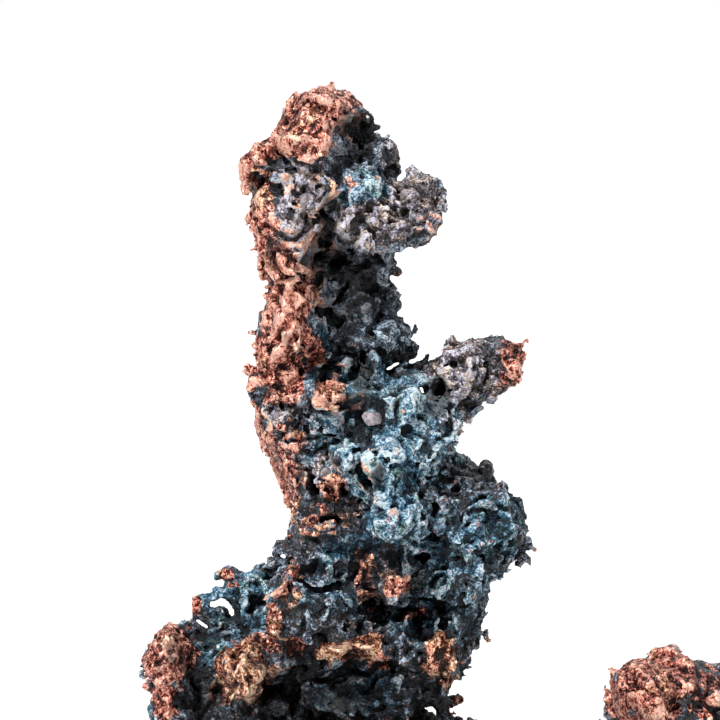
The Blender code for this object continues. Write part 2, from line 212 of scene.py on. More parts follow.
# forms seen from the front: across, up, half width, half height in millimetres from the view's centre, lean,
# and how far they stand out or sink in
frontForms = {
    "cap": (-4.9, 33.9, 4.42, 1.3, 0, 1.3),
    "capLeft": (-8.3, 32.4, 1.82, 1.17, 20, 0.7),
    "apron": (-6.6, 29.5, 1.82, 2.34, 0, 1.4),
    "capNotch": (-9.5, 30.7, 0.91, 0.65, 0, -2.2),
    "capPit": (-3.4, 31.1, 0.91, 0.58, 0, -1.8),
    "roll": (-11.3, 28.2, 3.51, 1.3, 12, 1.7),
    "rollShadow": (-11.2, 26.3, 2.86, 0.47, 6, -2.8),
    "leftTip": (-15.1, 24.4, 0.91, 2.6, 5, 1.2),
    "strip": (-12.6, 17.9, 1.17, 5.98, -3, 1.3),
    "slabFace": (-8.2, 20.2, 1.69, 3.9, 3, -1),
    "slabSlit": (-10.5, 22.5, 0.52, 1.43, 0, -1),
    "slabRim": (-5.6, 20.4, 0.65, 4.42, 6, 1.1),
    "slabFoot": (-7.3, 16.6, 2.34, 1.04, -15, 1),
    "slabKnob": (-10, 13.1, 1.17, 1.69, 0, 1.9),
    "slabLump": (-7.2, 11.8, 1.69, 1.43, -25, 2.6),
    "stripEnd": (-12.2, 10.5, 1.17, 1.43, 0, 0.9),
    "underSlab": (-5.7, 13.3, 1.82, 2.08, 0, -3),
    "neckGap": (-9.1, 10.8, 2.6, 0.52, 10, -2.4),
    "headHollow": (-0.8, 29.1, 3.12, 1.3, 6, -4.5),
    "hollowLeft": (-3.2, 28.9, 1.56, 1.82, 0, -4.4),
    "shelf": (0.3, 27.6, 2.86, 0.65, -4, 1.4),
    "headBlock": (3.9, 27.3, 1.56, 1.56, 0, 1),
    "headTopRim": (-3.2, 26.7, 1.56, 0.58, 15, 1),
    "headPit": (0.8, 25.6, 0.72, 0.91, 0, -2.1),
    "headPitLow": (-1.2, 23.3, 0.65, 0.65, 0, -1.6),
    "headPitRight": (3.6, 23.7, 0.78, 0.91, 0, -2.1),
    "rustSheet": (-3.1, 23.1, 1.04, 2.6, 22, 0.7),
    "cleft": (-4.8, 19.2, 0.72, 4.16, -7, -4.2),
    "cleftFoot": (-3.2, 15.9, 1.95, 1.43, 0, -4.5),
    "headShoulder": (1.3, 21.8, 2.6, 1.04, -8, 0.8),
    "brow": (0.8, 15.9, 2.34, 2.08, 0, 1.9),
    "browRight": (3.9, 17.9, 1.56, 2.08, 0, 0.8),
    "browGap": (3.2, 19.8, 1.69, 0.58, 14, -1.1),
    "underBrow": (-2.9, 12.7, 3.38, 2.08, 0, -4.5),
    "underBrowRight": (2.9, 12, 2.6, 1.56, 0, -3.6),
    "knob": (7.8, 19, 2.6, 3.64, 0, 0.8),
    "knobGap": (5.2, 23.7, 1.04, 1.17, 0, -2.4),
    "knobGroove": (9.1, 19, 0.46, 2.08, 0, -0.8),
    "neckRidge": (-9.2, 5.2, 1.95, 4.42, 5, 1.8),
    "neckRidgeTop": (-7.5, 8.6, 1.95, 1.3, -20, 1.2),
    "neckGroove": (-8.5, 2.9, 0.52, 2.34, 0, -1.1),
    "neckRib": (-6.2, 2, 1.17, 1.3, 0, 0.8),
    "neckHollow": (-3.1, 6.2, 1.56, 3.38, 0, -3.6),
    "neckShade": (-1, 8.8, 3.12, 0.78, 0, -1.5),
    "neckLump": (0.3, 7.3, 2.34, 1.17, 0, 1),
    "neckLumpLow": (0.7, 1.6, 1.82, 1.56, 0, 1),
    "neckLumpRight": (4.2, 4.2, 1.82, 2.34, 0, 1),
    "neckSlot": (3.4, 6.2, 2.08, 0.52, 0, -1.2),
    "arcRim": (-5.1, -1.3, 2.6, 1.82, 0, 1.4),
    "arcPocket": (-4.9, -1.6, 1.43, 0.98, 0, -4.1),
    "bladePocket": (0.3, -1.4, 0.78, 1.3, -6, -3.4),
    "blade": (2, -0.3, 0.65, 2.86, 6, 1.2),
    "leftLobe": (-12.7, 4.5, 1.3, 2.6, 0, 0.7),
    "leftPit": (-10.7, -2.2, 1.17, 0.91, 0, -1.7),
    "leftRidge": (-12.7, -1, 1.04, 1.82, -20, 1),
    "rustBlock": (-4, -4.3, 1.56, 1.82, 0, 1.5),
    "ledgeRight": (-1, -5.5, 2.08, 0.78, -10, 1),
    "flankShade": (-7.3, -5.5, 1.82, 0.78, 0, -1.5),
    "underLedge": (-5.5, -8.8, 3.38, 0.65, 12, -1.4),
    "flankRidge": (-9.6, -10.7, 1.56, 2.08, 20, 1),
    "blueGroove": (0.3, -3.9, 2.86, 0.65, -42, -1),
    "saddle": (4.9, -4.7, 2.08, 3.38, 10, 1.2),
    "elbowPocket": (9.5, -4.4, 1.3, 1.69, -10, -4.1),
    "elbow": (12.5, -6.9, 1.95, 1.69, 0, 0.8),
    "armGroove": (15.6, -1.8, 0.65, 2.34, 0, -1),
    "armTip": (19.9, -0.8, 1.17, 3.64, 4, 0.8),
    "armBlock": (13.3, -1.6, 2.08, 2.08, 0, 0.8),
    "blueHollow": (-3.9, -9.9, 2.34, 1.17, 10, -1.8),
    "bluePocket": (2, -14, 0.72, 2.34, -6, -4.1),
    "pocketLeft": (-0.8, -14, 1.69, 2.6, 0, 1),
    "pocketRight": (4.9, -13.8, 2.08, 2.86, 0, 1),
    "pocketTop": (0.5, -11.6, 1.69, 0.65, 10, 0.8),
    "underRim": (3.1, -17.4, 2.34, 0.52, 4, -1.5),
    "nodule": (3.8, -20.4, 2.21, 2.21, 0, 1.4),
    "rustKnot": (-3.2, -16.5, 1.43, 1.43, 0, 1.5),
    "rustKnotPit": (-3.8, -16.9, 0.58, 0.58, 0, -1.4),
    "leftHollow": (-6.6, -16.1, 1.17, 1.82, 0, -3),
    "bowl": (-4.3, -19.6, 1.95, 1.17, 0, -2.2),
    "bowlRim": (-4.4, -22, 3.64, 0.65, 4, 1),
    "leftEdge": (-7.9, -19.8, 1.17, 1.82, 0, 0.7),
    "bodyPit": (9.1, -19.2, 1.04, 1.43, 0, -2.5),
    "lobeHigh": (17.7, -17.3, 2.21, 1.3, -18, 1),
    "lobeGap": (16.1, -19.4, 2.08, 0.58, 18, -1.6),
    "lobeRight": (19.6, -21.4, 1.69, 1.82, 0, 0.8),
    "blueRidge": (13.8, -22.8, 3.64, 0.91, 14, 1.4),
    "ridgeShade": (15.6, -25.1, 1.69, 0.65, 12, -1.6),
    "lobeLow": (19, -26, 1.43, 1.04, 0, 0.8),
    "cleftMain": (7.7, -27, 0.65, 4.68, -24, -3),
    "groove": (11.3, -29.6, 0.65, 2.6, -38, -1.6),
    "grooveRight": (13.7, -29.9, 0.65, 1.82, -30, -1.2),
    "lobeWaist": (14.3, -32.8, 1.56, 2.08, 0, 1),
    "lowerGroove": (7.5, -34.8, 1.82, 0.78, 28, -1.4),
    "boss": (4.8, -29.6, 1.56, 1.04, 10, 1.5),
    "underBoss": (4.9, -31.7, 2.86, 0.65, 8, -1.1),
    "rustRidge": (0.5, -29.6, 0.78, 3.9, 8, 1.2),
    "midPit": (-4.9, -30.2, 2.34, 1.17, 0, -2.4),
    "midPitLow": (-5.2, -34.1, 1.82, 0.78, 16, -1.2),
    "crest": (-9.5, -31.2, 1.04, 5.46, -30, 1.9),
    "valley": (-12.7, -32, 1.69, 2.86, -25, -2),
    "copperLedge": (-2.1, -37.6, 3.9, 0.91, 5, 2.4),
    "crestKnob": (-8.2, -37.4, 1.3, 0.91, 0, 1.9),
    "underCopper": (-2, -40.2, 7.8, 0.91, 4, -2.2),
    "lowKnot": (2.3, -38.7, 1.56, 1.17, 0, 1.4),
    "lowLobe": (6.4, -39.5, 1.69, 1.17, 0, 1.2),
    "lowBlock": (10.4, -37.4, 2.86, 2.6, -18, 1.5),
    "lowBlockFoot": (10.1, -41.6, 1.3, 1.04, 0, 1),
    "goldWedge": (-15.3, -40.8, 3.12, 3.38, 0, 2.2),
    "goldEdge": (-13.1, -40, 0.58, 2.34, 45, 1.2),
    "cavern": (-8.8, -43.4, 3.38, 3.12, 0, -4),
    "spurPlate": (-23.9, -36.7, 1.82, 1.95, 0, 1.4),
    "spurLow": (-26, -40, 2.34, 1.56, -15, 1),
    "spurGap": (-21.8, -40.6, 1.04, 2.08, 0, -2.5),
    "lowLeftPit": (-20.3, -43.4, 1.56, 1.82, 0, -2.6),
    "lowRightRise": (5.2, -44.7, 3.38, 1.3, 0, 1.3),
    "slabShine": (-7, 20.4, 0.78, 1.69, -20, 0.6),
    "apronSide": (-3.1, 29.4, 0.91, 1.3, 0, -1.4),
    "lumpGap": (-8.6, 12.7, 0.46, 1.56, 0, -2.6),
    "stripGroove": (-10.9, 18.9, 0.39, 4.42, -2, -1),
    "capRight": (-1.3, 32.5, 1.56, 1.04, 30, -0.8),
}


def shapeForms(field):
    # pushes the front skin out or in over each leaning ellipse, along the line of sight;
    # skin that faces sideways stays, so that the outline does too
    slope = np.gradient(field, voxel, axis=1)
    level, gain = forming["facing"]
    facing = smoothStep(np.clip(level - gain * slope, 0, 1))
    outside, fade = forming["rim"]
    for centreX, centreY, halfX, halfY, lean, height in frontForms.values():
        reach = max(halfX, halfY) + forming["margin"]
        aside, above = forming["aside"], forming["above"]
        part = boxPart((targetX + centreX - reach - aside, lowCorner[1], targetZ + centreY - reach - above),
                       (targetX + centreX + reach + aside, forming["depth"], targetZ + centreY + reach + above))
        x, y, z = (axes[a][part[a]].astype(np.float32) for a in range(3))
        y, z = y[:, None] - targetY, z[None, :] - targetZ
        scale = camera["distance"] / (camera["distance"] + y * math.cos(cameraLift) - z * math.sin(cameraLift))
        upward = (y * math.sin(cameraLift) + z * math.cos(cameraLift)) * scale - centreY + bendUp[part]
        across = (x[:, None, None] - targetX) * scale - centreX + bendAcross[part]
        turn = math.radians(lean)
        u = (across * math.cos(turn) + upward * math.sin(turn)) / halfX
        v = (upward * math.cos(turn) - across * math.sin(turn)) / halfY
        radius = np.sqrt(u * u + v * v) + forming["ragged"] * wobbleA[part]
        share = smoothStep(np.clip((outside - radius) / fade, 0, 1))
        front = smoothStep(np.clip((forming["depth"] - axes[1][part[1]]) / forming["depthFade"], 0, 1))
        share *= front[None, :, None].astype(np.float32)
        field[part] -= height * share * facing[part]


def melt(field, part, shape, soft):
    # adds a shape to the field, with a fillet where the two meet: the lesser of them, less the square of what
    # their gap is short of soft, over four times soft
    fillet = np.maximum(soft - np.abs(field[part] - shape), 0)
    field[part] = np.minimum(field[part], shape) - fillet * fillet / (4 * soft)


def lineDistance(places, first, last):
    # how far places are from the line between two points
    along = last - first
    share = np.clip(((places - first) @ along) / (along @ along), 0, 1)
    return np.linalg.norm(places - first - share[..., None] * along, axis=-1)


def pathDistance(places, points):
    # how far places are from the lines that join the points, up to a limit
    away = np.full(places.shape[:-1], drawing["farthest"])
    for first, last in zip(points[:-1], points[1:]):
        away = np.minimum(away, lineDistance(places, first, last))
    return away


# how strands and gaps are drawn: the room round them, the ragged share of their radius, the fillet where a
# strand starts, the farthest that is measured, and the radius from which they come before the roughness
drawing = {"strandRoom": 3, "gapRoom": 4, "ragged": 0.25, "fillet": 0.6, "farthest": 9.0, "bold": 0.8}
# thin strands: their radius, then the points each one runs through as x, y, z
strands = {
    "wire": (0.3, (-11.4, -3, 102.6), (-10.8, -4, 103.5), (-9.9, -4, 103.9), (-9, -3, 103.2),
             (-8.9, -2, 101.9)),
    "headSpike": (0.4, (-9.3, -2, 101.4), (-8.6, -2, 101.5), (-8.1, -2, 101.8)),
    "neckSpur": (0.6, (-6.5, 0, 83.8), (-5.6, 0, 83)),
    "leftThorn": (0.35, (-23.6, 0, 75.1), (-24.8, 0, 75.3)),
    "leftThornLow": (0.45, (-23.9, 0, 70), (-25.2, 0, 70.6)),
    "hook": (0.55, (-25.6, 4, 41.3), (-27, 4, 42.4), (-28.3, 4, 42.5), (-29.4, 4, 41.6)),
    "hookStem": (0.8, (-27.2, 4, 41.9), (-26.8, 4, 40.2), (-26.7, 4, 38.6)),
    "plate": (0.9, (-23.5, 5, 41.1), (-23.9, 5, 42.6)),
    "loop": (0.4, (-20.6, 5, 43.5), (-21.4, 5, 44.4), (-21, 5, 45), (-19.9, 5, 45.3), (-19.5, 5, 44.4)),
    "loopSpike": (0.4, (-21.5, 5, 43.7), (-22.6, 5, 43.8), (-22.4, 5, 43.1)),
    "spikeHigh": (0.35, (-19.5, 5, 44.9), (-20.4, 5, 45.7), (-21.4, 5, 46.4)),
    "archBeam": (0.6, (-30.9, 3, 38.6), (-29.8, 3, 39.8), (-28.9, 3, 40.1), (-27.9, 3, 39.2),
                 (-26.4, 3, 38.6)),
    "archPost": (0.5, (-32.4, 3, 39.1), (-32.3, 3, 37.7), (-32.3, 3, 36.1)),
    "archSide": (0.6, (-31.7, 3, 38.6), (-30.9, 3, 39.1), (-30.7, 3, 38)),
    "bush": (0.5, (-0.4, 2, 58.5), (1.1, 2, 57.7), (2.1, 2, 56.6), (3.6, 2, 56.6)),
    "bushHigh": (0.4, (0.1, 1, 57.9), (1, 1, 59.2), (2.5, 1, 57.9)),
    "crestStem": (1, (5.9, 2, 55.6), (6.3, 2, 56.9)),
    "rightSpike": (0.4, (7.1, 2, 42.1), (6, 2, 41.9)),
    "lowSpike": (0.7, (0.2, 0, 25.4), (2.7, 0, 26.1)),
    "pinnacle": (0.35, (-1.6, 0, 72.1), (-1.6, 0, 72.9)),
    "neckShoulder": (0.9, (-4.7, 0, 73.8), (-3.6, 0, 73), (-3, 0, 71.9)),
    "armBump": (1.3, (2.2, -4, 72.4), (0.9, -4, 74)),
    "armRoot": (0.8, (-1.9, 1, 70.7), (-0.5, 1, 71.4)),
    "knobEdge": (1.3, (23.3, 0, 29.2), (23, 0, 27.1), (23.6, 0, 24.3)),
    "knobTop": (1.2, (28.7, 0, 32), (30.9, 0, 32.2)),
    "spurEdge": (1, (-38.8, 3, 30.3), (-39.1, 3, 28.4)),
    "spurTop": (1.5, (-35.3, 0, 35.2), (-33.1, 0, 35.8)),
    "headEdge": (1.2, (-24.9, 2, 97.9), (-25, 2, 96.1), (-24.5, 2, 94)),
    "rollEdge": (1, (-23.1, 2, 98.7), (-21.5, 2, 99.4), (-20.2, 2, 100)),
    "knobLow": (1.4, (-4.8, -2, 87.6), (-3.5, -2, 87.4), (-2.5, -2, 87.7)),
    "armUnder": (1, (4.2, 0, 67.2), (5.8, 0, 67.3)),
    "elbowSide": (1.1, (2.4, 0, 65.8), (2.6, 0, 64.2)),
    "lowRight": (1.4, (2.6, 0, 32.1), (2.9, 0, 29.5)),
    "lowRightFoot": (1.3, (-0.9, -2, 26), (0.9, -2, 25.7)),
    "flankEdge": (1.2, (-21.4, 3, 57.8), (-20.6, 3, 55.4), (-19.7, 3, 51.6)),
    "knobCorner": (1.2, (24.1, 0, 29.7), (26.2, 0, 30.9)),
    "capCorner": (0.9, (-19.9, 0, 101.6), (-20.1, 0, 103.6)),
    "lobeEdge": (1.2, (10.5, 3, 51.6), (10.7, 3, 49.2)),
    "capLeft": (1.2, (-19.1, 0, 104.5), (-18.2, 0, 105.3)),
    "headLowEdge": (1.1, (-24.6, 1, 95.1), (-24.9, 1, 93.1)),
    "knobFoot": (1.1, (-4.8, -2, 87.4), (-2.7, -2, 87.1), (-1.4, -2, 87.9)),
}


def addStrands(field, least, most):
    # rods along each strand of a radius between the two, melted into the skin they touch
    for radius, *points in strands.values():
        if not least <= radius < most:
            continue
        points = np.array(points)
        part = boxPart(points.min(axis=0) - drawing["strandRoom"], points.max(axis=0) + drawing["strandRoom"])
        rod = pathDistance(partPlaces(part), points)
        melt(field, part, rod - radius * (1 + drawing["ragged"] * wobbleB[part]), drawing["fillet"])


# gaps seen right through from the front: their radius, then points across and up from the view's centre
gaps = {
    "holeArch": (0.55, (-19, -31.7), (-17.9, -31.5), (-17, -31.9), (-16.8, -33)),
    "holeSlit": (0.3, (-21.1, -33.9), (-19.8, -34.8)),
    "holeLoop": (0.3, (-10.1, -25.5), (-9.9, -25.5)),
    "holeKnob": (0.45, (5.1, 23.5), (5.7, 24.2)),
    "holeNeck": (0.32, (3.5, -1.2), (4.2, -0.9), (4.9, -0.4)),
    "holeNeckRight": (0.3, (6.6, -0.3), (7.2, -0.1), (7.7, 0.4), (8.3, 0.8)),
    "holeElbow": (0.35, (7.9, -3.6), (8.3, -4.3)),
    "elbowNotch": (2.2, (13.8, -8.8), (13.8, -10.7)),
    "spurNotch": (1.9, (-27.3, -32.8), (-28.3, -35.4)),
    "archNotch": (1.6, (-21.1, -28.6), (-20, -27.6)),
    "stripNotch": (1.5, (-15.6, 20.2), (-15.3, 15), (-14.8, 11.7), (-13.8, 9.4)),
    "flankNotch": (1.2, (-15.6, 1.6), (-15.1, 0.3)),
    "waistNotch": (1.2, (-10.3, -19.9), (-10.3, -22.4)),
    "lobeNotch": (2.4, (18.2, -29.9), (18.2, -32.8), (18.1, -35.4), (17.2, -37.7)),
    "neckNotch": (1.4, (-14.8, 2.3), (-14.7, 0)),
    "capNotch": (0.7, (0.4, 34.3), (1, 33.4)),
    "armTrim": (2.1, (23.1, 2.6), (23.3, -2.6)),
    "headTrim": (1, (2.5, 30), (4.4, 29.8)),
    "capTrim": (1, (-7.8, 35.9), (-6, 36.1)),
    "knobTrim": (2.1, (11.2, 25.5), (12.9, 22.9), (13, 20.2)),
    "lobeTrim": (1.4, (22.4, -23.8), (21.4, -26.3), (19.2, -28.9)),
    "neckTrim": (1.7, (5.7, 10.4), (6.1, 7.2)),
    "armLowTrim": (0.9, (15.2, -7.4), (16.8, -6.6), (18.6, -6)),
    "capSideTrim": (1.1, (-11.3, 33.1), (-11.1, 31.2)),
    "shoulderTrim": (1.5, (7.8, 7), (8.3, 5.5)),
    "lobeTopTrim": (1.2, (20.3, -14.7), (22.2, -17.2)),
    "loopTrim": (1.1, (-11.4, -24.1), (-12.2, -25.7)),
    "knobSideTrim": (1.9, (30, -42.9), (30.2, -47.1)),
    "spikeTrim": (0.7, (9.9, 3.6), (9.9, 2.3)),
    "lobeSideTrim": (2.3, (24.1, -18.9), (24.1, -22.8), (22.6, -26.3)),
    "elbowTrim": (1.3, (16.1, -7.3), (17.2, -6.5)),
    "rollTrim": (1.1, (-16.1, 29.4), (-14.3, 30.6)),
    "lowSideTrim": (1.7, (17.8, -38.4), (16.1, -40.6)),
    "flankTrim": (1.1, (-15.1, -8.5), (-14.3, -11.7)),
    "bushTrim": (1.3, (14.8, -11.7), (16.6, -12)),
}


def cutGaps(field, least, most):
    # opens each gap of a radius between the two right through, along the line of sight
    room = drawing["gapRoom"]
    for radius, *points in gaps.values():
        if not least <= radius < most:
            continue
        points = np.array(points)
        lowX, lowZ = points.min(axis=0) - room - radius
        highX, highZ = points.max(axis=0) + room + radius
        part = boxPart((targetX + lowX, -np.inf, targetZ + lowZ - room - radius),
                       (targetX + highX, np.inf, targetZ + highZ + room + radius))
        gap = pathDistance(np.stack(frontView(partPlaces(part)), -1), points)
        field[part] = np.maximum(field[part], radius * (1 + drawing["ragged"] * wobbleB[part]) - gap)


# where the front's patches hand over to the back's, and how soft and ragged the rims are
patching = {"middle": 9.0, "crossing": 4.0, "backRagged": 2.2, "soft": 0.5, "coarseSoft": 0.8,
            "ragged": (0.16, 0.10)}
# coats seen from the front: across, up, half width, half height in millimetres from the view's centre, lean,
# strength
copperPatches = {
    "cap": (-4.9, 33.5, 6.2, 3.9, 12, 1),
    "capApron": (-7, 29.6, 3.5, 3.4, 0, 1),
    "leftRoll": (-12.2, 28.1, 5.5, 2.6, 28, 1),
    "leftTip": (-15.3, 24.4, 1.8, 3.4, 0, 0.9),
    "leftStrip": (-13, 16.6, 2.1, 7.5, -3, 1),
    "stripFoot": (-12.7, 10.7, 2.3, 2.3, 0, 0.6),
    "slabKnob": (-9.9, 12.5, 2.1, 2.6, 0, 0.9),
    "slabKnobRight": (-6.8, 11.4, 1.8, 2.1, 0, 0.55),
    "slabRim": (-6.8, 15.9, 2.3, 1.3, -20, 0.45),
    "slabEdge": (-5.2, 20.2, 0.7, 4.7, 6, 0.4),
    "slabSheen": (-8.3, 19.2, 2.9, 5.5, 0, 0.6),
    "neckRidge": (-9.1, 5.7, 3.4, 5.7, 6, 1),
    "neckRidgeTop": (-7.5, 8.3, 2.9, 2.1, -20, 1),
    "neckRidgeFoot": (-9.4, -0.3, 2.3, 4.4, 0, 0.75),
    "neckRim": (-6.2, 1.3, 1.8, 2.9, 0, 0.7),
    "leftNeck": (-13, -0.3, 2.6, 3.4, 0, 0.75),
    "flankHigh": (-10.1, -4.7, 3.1, 1.8, 0, 0.6),
    "flankEdge": (-13.8, -7.8, 1.6, 4.4, 12, 0.7),
    "flankMiddle": (-10.1, -10.4, 3.4, 3.1, 15, 0.62),
    "flankLow": (-9.9, -15.3, 2.3, 4.7, 12, 0.6),
    "ledge": (-4, -4.2, 1.8, 2.3, 0, 0.8),
    "ledgeRight": (-1.3, -5.5, 2.3, 1.3, 0, 0.5),
    "armTip": (20, -0.5, 2.1, 4.7, 0, 0.8),
    "armTipLow": (18.2, -2.3, 2.1, 2.1, 0, 0.5),
    "rustKnot": (-3.4, -16.4, 1.8, 1.8, 0, 0.85),
    "headRust": (-2, 22.1, 1.8, 2.6, -30, 0.45),
    "headRight": (8.6, 17.9, 2.1, 2.3, 0, 0.45),
    "headMiddleRust": (0.8, 19.8, 1.3, 1, 0, 0.35),
    "rims": (-5.7, -21.1, 5.2, 2.9, 0, 0.42),
    "rimRight": (-1, -19.2, 1.8, 1.8, 0, 0.35),
    "middleFlecks": (0.8, -28.9, 1.6, 4.4, 8, 0.6),
    "middleSheet": (2.3, -27.6, 3.4, 1.2, -14, 0.5),
    "boss": (4.7, -29.4, 2.1, 1.3, 20, 0.85),
    "leftCrest": (-9.9, -31.2, 1.7, 5.7, -24, 0.55),
    "crestKnob": (-8.2, -37.3, 1.6, 1.2, 0, 0.85),
    "copperLedge": (-1.8, -37.4, 4.4, 1.4, 10, 0.9),
    "lowKnot": (2.1, -39, 1.6, 1.2, 0, 0.6),
    "rightFlecks": (10.4, -38.7, 2.3, 2.9, 0, 0.65),
    "rightFlecksLow": (11.4, -41.9, 1.6, 1.3, 0, 0.6),
    "rightRust": (13.3, -44.2, 2.3, 1.3, 25, 0.4),
    "diagFleck": (7.5, -32.8, 1.8, 0.8, 20, 0.55),
    "spurCopper": (-25, -38, 3.6, 4.4, -18, 1),
    "spurCopperLow": (-25.7, -44.2, 1.8, 3.1, 0, 0.75),
    "spurGold": (-15.3, -40.6, 3.4, 3.9, 0, 1),
    "spurGoldTip": (-17.4, -42.9, 2.3, 1.8, 20, 0.9),
    "spurGoldTop": (-12.7, -36.7, 3.4, 1.3, -10, 0.6),
    "hook": (-17.4, -27.8, 1.2, 0.9, 0, 0.8),
    "hookNeck": (-16.5, -29.1, 0.9, 1, 0, 0.6),
    "archPost": (-21.3, -32.2, 0.7, 1.2, 0, 0.8),
    "knob": (36.9, -42.9, 4.9, 5.5, -10, 1),
    "knobTop": (40.6, -39.5, 4.4, 2.3, 10, 0.75),
    "knobRight": (44.5, -42.9, 2.9, 3.9, 0, 0.55),
}
bluePatches = {
    "saddle": (3.4, -5.2, 6, 4.4, 20, 0.9),
    "saddleLeft": (-1.8, -3.1, 3.4, 2.1, -30, 0.7),
    "saddleWide": (2.3, -8.8, 9.6, 7.5, 0, 0.62),
    "neckRight": (3.4, 4.4, 4.9, 4.7, 0, 0.42),
    "saddleLow": (3.6, -11.4, 9.1, 6, 0, 0.8),
    "azureHigh": (1.6, -4.7, 2.6, 1.8, -30, 1),
    "azureMiddle": (5.7, -9.1, 2.9, 1.8, 0, 1),
    "azureLow": (4.9, -15.3, 2.3, 2.1, 0, 1),
    "pocketRim": (1.6, -16.4, 3.9, 3.4, 0, 0.8),
    "nodule": (4.4, -20.2, 3.9, 3.6, 0, 0.8),
    "neckRib": (-5.5, 1.3, 2.1, 5.7, -18, 0.65),
    "leftPatch": (-3.9, -10.7, 3.1, 2.3, 0, 0.6),
    "neckFoot": (2.9, -1.6, 2.3, 3.4, 20, 0.6),
    "bodyRight": (17.4, -21.6, 4.4, 4.4, 0, 0.62),
    "bodyMiddle": (11.2, -25, 7.8, 6.5, 0, 0.55),
    "bodyLow": (10.4, -32.8, 6.8, 5.7, 0, 0.5),
    "leftMiddle": (-2, -24.4, 3.9, 2.3, 0, 0.7),
    "leftLow": (-3.1, -30.2, 5.7, 4.4, 0, 0.5),
    "spurBack": (-15.6, -32, 5.7, 5.5, 0, 0.9),
    "spurFront": (-19, -38, 3.1, 2.6, 0, 0.85),
    "headPale": (0.3, 22.6, 3.4, 2.6, -20, 0.65),
    "headCore": (-0.5, 26, 2.6, 2.1, 0, 0.4),
    "lowMiddle": (0, -42.9, 7.8, 3.6, 0, 0.55),
    "leftEdgeLow": (-27, -45.8, 1.6, 1.8, 0, 0.6),
}
palePatches = {
    "arm": (14.3, -1, 6, 4.4, 0, 0.9),
    "slab": (-7.9, 19.2, 3.1, 6, 0, 1),
    "headMiddle": (1.3, 18.9, 5.7, 4.4, 0, 0.8),
    "headKnob": (6.8, 20, 3.6, 4.4, 0, 0.8),
    "headShelf": (4.2, 27, 2.9, 2.3, 0, 0.5),
    "ledge": (2.1, -7.5, 2.9, 2.6, 0, 0.6),
    "elbow": (12.3, -7.8, 2.6, 2.3, 0, 0.5),
    "shoulder": (-4.9, -14.3, 3.4, 2.9, 0, 0.8),
    "flank": (-10.1, -7.8, 2.3, 2.3, 0, 0.5),
    "neckRight": (2.6, 5.2, 4.4, 3.9, 0, 0.25),
    "body": (10.4, -21.3, 2.3, 2.1, 0, 0.6),
    "waist": (-1, -31.2, 7.8, 5.2, 0, 0.35),
}
goldPatches = {
    "capApron": (-6.8, 30.4, 1.8, 2.6, 0, 0.5),
    "stripTop": (-13.4, 22.1, 0.9, 2.1, 0, 0.9),
    "rustSheet": (-3.1, 22.6, 1.6, 2.6, -25, 0.8),
    "ledge": (-4, -4.2, 1.8, 2.3, 0, 0.35),
    "flank": (-9.6, -7.8, 3.4, 2.6, 0, 0.5),
    "rustKnot": (-3.4, -16.4, 2.1, 2.1, 0, 0.35),
    "rims": (-5.2, -20.8, 5.7, 3.1, 0, 0.7),
    "middle": (1.6, -28.9, 5.2, 4.4, 0, 0.6),
    "crest": (-9.1, -33.8, 2.1, 5.2, -24, 0.8),
    "copperLedge": (-1.8, -37.7, 4.7, 1.8, 10, 1),
    "goldWedge": (-15.3, -40.8, 4.2, 4.4, 0, 1),
    "rightFlecks": (10.9, -39.5, 3.4, 4.4, 0, 0.8),
    "spurEdge": (-24.7, -35.9, 1.6, 1.3, 0, 0.5),
    "knobSide": (39.5, -44.7, 3.9, 2.9, 0, 0.5),
}
# painted light: front patches made lighter; painted shade: front patches made darker, most of all low down
paintedLightPatches = {
    "neckRidge": (-8.8, 5.5, 2.9, 5.5, 6, 0.6),
    "flank": (-10.9, -10.4, 3.4, 7, 10, 0.3),
    "saddle": (3.1, -8.3, 9.1, 6.8, 0, 0.62),
    "slab": (-8.1, 19.5, 3.1, 5.7, 0, 1),
    "arm": (14, -0.8, 5.2, 4.2, 0, 0.3),
    "head": (1.3, 20.8, 5.2, 5.2, 0, 0.2),
}
paintedShadePatches = {
    "right": (17.2, -23.4, 7.8, 7.8, 0, 0.45),
    "middle": (-3.9, -24.1, 6.5, 5.7, 0, 0.3),
    "low": (7.8, -34.5, 10.9, 7.3, 0, 0.5),
    "lowLeft": (-3.9, -35.1, 7.8, 6.5, 0, 0.4),
    "foot": (-2.6, -45.8, 19.5, 4.4, 0, 0.8),
    "wedge": (-15.6, -41.6, 6.5, 3.9, 0, 0.4),
    "armTip": (20, -0.5, 2.3, 4.9, 0, 0.7),
    "roll": (-12.7, 28.1, 4.7, 2.6, 28, 0.25),
}
# painted shade: hollows, clefts and the undersides of overhangs, darkened towards black in the skin colour; the
# same patches widen the pores
hollowShadePatches = {
    "headHollow": (0.3, 30.7, 3.9, 2.1, 0, 0.9),
    "underCap": (-1, 27, 2.9, 1.6, 0, 0.8),
    "headCleft": (-4.4, 16.6, 1.2, 4.4, 0, 0.9),
    "underBrow": (-1.8, 11.7, 5.2, 3.4, -8, 0.9),
    "neckDark": (-2, 7.8, 3.9, 5.2, 0, 0.6),
    "neckPocket": (0.3, -1.6, 1.6, 2.9, 0, 0.9),
    "ledgePocket": (-4.9, -1.4, 2, 1, 0, 0.9),
    "elbowPocket": (10.1, -4.7, 1.8, 2.6, 0, 0.9),
    "lowLeft": (-20.2, -43.6, 2.6, 3.9, 0, 0.8),
    "lowCavern": (-5.9, -44.2, 7.8, 3.9, 0, 0.85),
    "cleft": (7.5, -27.9, 1, 4.4, -26, 0.7),
    "bluePocket": (2.2, -15.6, 0.8, 2.3, -14, 0.95),
}
